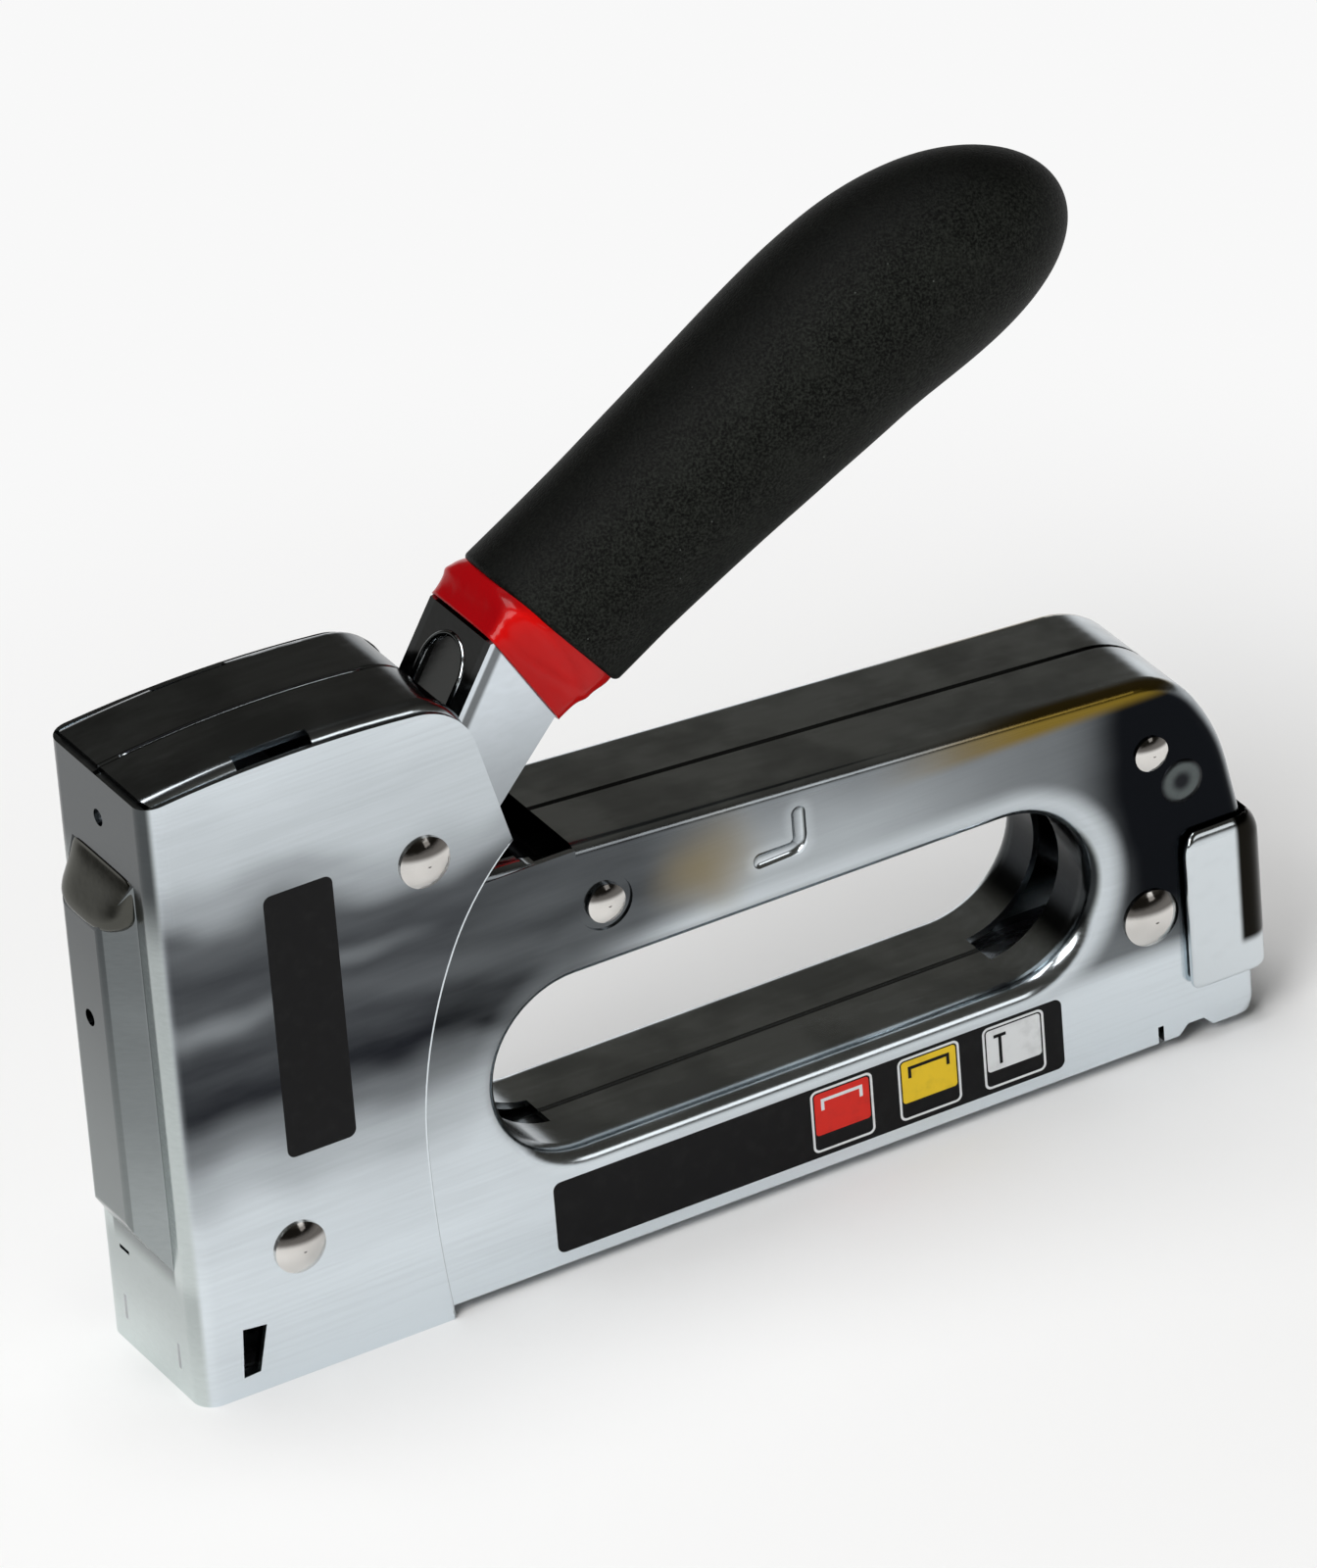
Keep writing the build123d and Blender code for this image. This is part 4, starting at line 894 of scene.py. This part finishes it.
def sleeve_ring(distance, half_width, upper, lower, roundness):
    """One ring of the sleeve: an oblong whose corners run from square at roundness 0 to round at 1."""
    ring = []
    power = 2 + 5 * (1 - roundness)
    for step in range(SLEEVE_POINTS):
        angle = math.tau * step / SLEEVE_POINTS
        across, up = squared(angle, power)
        crease = 1 + 0.010 * (1 - roundness) * math.sin(3 * angle + 400 * distance)
        for middle, lean in CREASES:
            fold = (distance - middle - lean * math.sin(2 * angle)) / CREASE_HALF
            crease += 0.055 * math.exp(-fold * fold) * math.cos(angle) ** 4
        up *= crease * (upper if up > 0 else lower)
        slanted = distance - up * math.tan(GRIP_CUT) * roundness
        ring.append(on_grip(slanted, up, across * half_width * crease))
    return ring


red_vinyl, vinyl_shader = new_material(
    "red_vinyl", 0.0, 0.24, Coat_Weight=0.16, Coat_Roughness=0.05, Specular_IOR_Level=0.08)
tree = red_vinyl.node_tree
skin = place_group(tree, grain, Scale=420.0, Detail=1.0)
uneven = fade(tree, skin["Broad"], 0.35, 0.7)
red = mix_colours(tree, uneven, (0.62, 0.005, 0.004, 1), (0.44, 0.003, 0.004, 1))
# Faces that turn from the side towards the web are painted a deeper red, a painted shade.
sideways = maths(tree, "ABSOLUTE", split(tree, where(tree, "Normal"))[1])
red = mix_colours(tree, fade(tree, sideways, 0.75, 0.25, 0.0, 0.75), red, (0.17, 0.0005, 0.003, 1))
tree.links.new(red, vinyl_shader.inputs["Base Color"])
add_bump(tree, vinyl_shader, skin["Fine"], 0.0004, 0.35)

# The front edge is turned in and rounded, and then the sleeve swells over 25 rings.
half, upper, lower = NECK_HALF
rings = [sleeve_ring(-SLEEVE_SHOW + 0.0012, half - 0.0009, upper - 0.0011, lower - 0.0012, 0.0)]
for step in range(4):
    drawn_in = 0.00085 - 0.0002 * step
    distance = -SLEEVE_SHOW + 0.0004 - 0.00013 * step
    rings.append(sleeve_ring(distance, half - drawn_in, upper - drawn_in, lower - drawn_in, 0.0))
for step in range(25):
    share = step / 24
    puff = share * share * (3 - 2 * share)
    waist = SLEEVE_WAIST * math.sin(math.pi * share) ** 2
    distance = -SLEEVE_SHOW + share * (SLEEVE_SHOW + SLEEVE_BURIED)
    rings.append(sleeve_ring(distance, half + SLEEVE_FLARE[0] * puff - waist,
                             upper + SLEEVE_FLARE[1] * puff + waist,
                             lower + SLEEVE_FLARE[2] * puff - waist, puff))
sleeve = add_rings("vinyl_sleeve", rings, False, red_vinyl)
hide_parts("handle_sleeve")
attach(sleeve, "lever")

# ---------------------------------------- printed label and patch
# Screen printed in enamel ink: a black label below the finger opening, with a framed field in red, yellow
# and white for each kind of staple, and a plain black patch on the nose. The ink stands a little proud.
LABEL = (0.0525, 0.0035, 0.1344, 0.0148)
PATCH = (0.0124, 0.0345, 0.0230, 0.0757)
FIELDS = ((0.0985, "red"), (0.1126, "yellow"), (0.1264, "white"))
FIELD_HALF = 0.0050
FIELD_MIDDLE = 0.0093
FRAME_LINE = 0.00035
FIELD_GAP = 0.0006
FOOT_STRIP = 0.0027
SIGN_LINE = 0.0005
SIGN_TOP = 0.0018
PRINT_LAYER = 0.00003
INKS = {"black": (0.0045, 0.0045, 0.005), "white": (0.80, 0.82, 0.83), "red": (0.72, 0.03, 0.02),
        "yellow": (0.88, 0.60, 0.03)}


def ink(name):
    """Printing ink, a little worn and uneven."""
    made, shader = new_material(f"{name}_ink", 0.0, 0.34, Specular_IOR_Level=0.12)
    tree = made.node_tree
    laid = place_group(tree, grain, Scale=500.0, Detail=4.0)
    thin = tuple(value * 0.85 + 0.004 for value in INKS[name])
    colour = mix_colours(tree, fade(tree, laid["Fine"], 0.45, 0.8), (*INKS[name], 1), (*thin, 1))
    finish_surface(tree, shader, colour, laid["Fine"], (0.24, 0.44), 0.00002, 0.3)
    return made


def stroke(path, width):
    """Outline of an open line of this width through points in X and Z, with mitred corners."""
    left, right = [], []
    for number, (x, z) in enumerate(path):
        before = path[max(number - 1, 0)]
        after = path[min(number + 1, len(path) - 1)]
        normals = []
        for start, end in ((before, (x, z)), ((x, z), after)):
            step = Vector((end[0] - start[0], end[1] - start[1]))
            if step.length:
                normals.append(Vector((-step.y, step.x)).normalized())
        normal = sum(normals, Vector((0, 0))) / len(normals)
        normal *= width / 2 / normal.length_squared
        left.append((x + normal.x, z + normal.y))
        right.append((x - normal.x, z - normal.y))
    return list(reversed(left)) + right


def add_print(name, outlines, surface, layer, colour):
    """Prints shapes on the left side. A shape is one closed outline, or an outer and an inner one."""
    points, faces = [], []
    back = -surface - PRINT_LAYER * (layer - 1)
    front = -surface - PRINT_LAYER * layer
    for loops in outlines:
        base = len(points)
        count = len(loops[0])
        for loop in loops:
            points += [(x, back, z) for x, z in loop] + [(x, front, z) for x, z in loop]
        rise = base + count
        faces += ring_faces(base, rise, count)
        if len(loops) > 1:
            inner = rise + count
            crest = inner + count
            faces += ring_faces(crest, inner, count) + ring_faces(rise, crest, count)
            faces += ring_faces(inner, base, count)
        else:
            faces += [tuple(range(rise, rise + count)), tuple(reversed(range(base, rise)))]
    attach(add_mesh(name, points, faces, inks[colour], smooth_sides=0), "frame")


inks = {name: ink(name) for name in INKS}
add_print("label_ground", [[rounded(*LABEL, 4 * [0.0012])]], shell_face, 1, "black")
add_print("nose_patch", [[rounded(*PATCH, 4 * [0.0012])]], COVER_FACE, 1, "black")

# Each field has a white frame and a sign: a staple's crown on red and on yellow, a nail on white.
frames, crowns, nail = [], [], []
for middle, colour in FIELDS:
    left, right = middle - FIELD_HALF, middle + FIELD_HALF
    low, high = FIELD_MIDDLE - FIELD_HALF, FIELD_MIDDLE + FIELD_HALF
    within = (left + FRAME_LINE, low + FRAME_LINE, right - FRAME_LINE, high - FRAME_LINE)
    frames.append([rounded(left, low, right, high, 4 * [0.0010]), rounded(*within, 4 * [0.0007])])
    field = rounded(left + FIELD_GAP, low + FOOT_STRIP, right - FIELD_GAP, high - FIELD_GAP, 4 * [0.0005])
    add_print(f"label_{colour}", [[field]], shell_face, 2, colour)
    top = high - SIGN_TOP
    if colour == "white":
        nail.append([stroke([(middle - 0.0022, low + 0.0036), (middle - 0.0022, top)], SIGN_LINE)])
        nail.append([stroke([(middle - 0.0032, top), (middle - 0.0012, top)], SIGN_LINE)])
    else:
        crowns.append([stroke([(middle - 0.0031, top - 0.0016), (middle - 0.0031, top),
                               (middle + 0.0031, top), (middle + 0.0031, top - 0.0016)], SIGN_LINE)])
add_print("label_frames", frames, shell_face, 2, "white")
add_print("label_crown", crowns[:1], shell_face, 3, "white")
add_print("label_leg_and_nail", crowns[1:] + nail, shell_face, 3, "black")

# ---------------------------------------- floor, light and camera
# A pale floor, two soft lamps above, a weak one low on the right, and a dim ceiling that the tops show.
# A long lens looks down on the left side from in front of the nose, 1.9 m away.
LIT_MIDDLE = Vector((0.08, 0, 0.05))
FLOOR_MIDDLE = (0.085, 0.0, 0.0)
CAMERA_PLACE = (-0.6741, -1.4347, 1.0133)
CAMERA_RIGHT = (0.8626, -0.5009, -0.0709)
CAMERA_UP = (0.3075, 0.4079, 0.8597)
CAMERA_BACK = (-0.4016, -0.7634, 0.5059)


def soft_box(name, place, size, power):
    """A square lamp that looks at the middle of the gun."""
    lamp = bpy.data.lights.new(name, "AREA")
    lamp.size = size
    lamp.energy = power
    made = put(name, lamp)
    made.location = place
    made.rotation_euler = (LIT_MIDDLE - Vector(place)).to_track_quat("-Z", "Y").to_euler()


bpy.ops.mesh.primitive_plane_add(size=8, location=(0, 0, 0))
floor = bpy.context.object
floor.name = "floor"
floor_paint, floor_shader = new_material("floor_paint", 0.0, 0.9, Base_Color=(0.9, 0.9, 0.9, 1))
tree = floor_paint.node_tree
ray = add_node(tree, "ShaderNodeLightPath").outputs
coords = where(tree)
away = measure(tree, "LENGTH", vector_maths(tree, "SUBTRACT", coords, FLOOR_MIDDLE))
seen = maths(tree, "MAXIMUM", ray["Is Camera Ray"], ray["Is Glossy Ray"])
even = product(tree, seen, fade(tree, away, 0.092, 0.24))
paper = add_node(tree, "ShaderNodeEmission", ((0, (0.94, 0.94, 0.94, 1)),)).outputs[0]
parts = ((0, even), (1, floor_shader.outputs[0]), (2, paper))
blended = add_node(tree, "ShaderNodeMixShader", parts).outputs[0]
tree.links.new(blended, tree.nodes["Material Output"].inputs["Surface"])
floor.data.materials.append(floor_paint)

soft_box("key_light", (-1.1, -0.75, 1.35), 0.9, 21)
soft_box("top_light", (-0.15, 0.15, 1.9), 1.1, 23)
soft_box("edge_light", (0.80, -1.43, 0.76), 0.42, 0.9)
world = bpy.data.worlds.new("world")
bpy.context.scene.world = world
world.use_nodes = True
tree = world.node_tree
ceiling = fade(tree, split(tree, where(tree, "Generated"))[2], 0.03, 0.24)
sky_colour = mix_colours(tree, ceiling, (0.80, 0.80, 0.80, 1), (0.055, 0.052, 0.045, 1))
tree.links.new(sky_colour, tree.nodes["Background"].inputs["Color"])

camera_data = bpy.data.cameras.new("camera")
camera_data.lens = 315
camera_data.sensor_width = 36
camera_data.clip_end = 20
camera = put("camera", camera_data)
camera.matrix_world = (Matrix.Translation(CAMERA_PLACE)
                       @ Matrix((CAMERA_RIGHT, CAMERA_UP, CAMERA_BACK)).transposed().to_4x4())
bpy.context.scene.camera = camera
bpy.context.scene.view_settings.view_transform = "Standard"
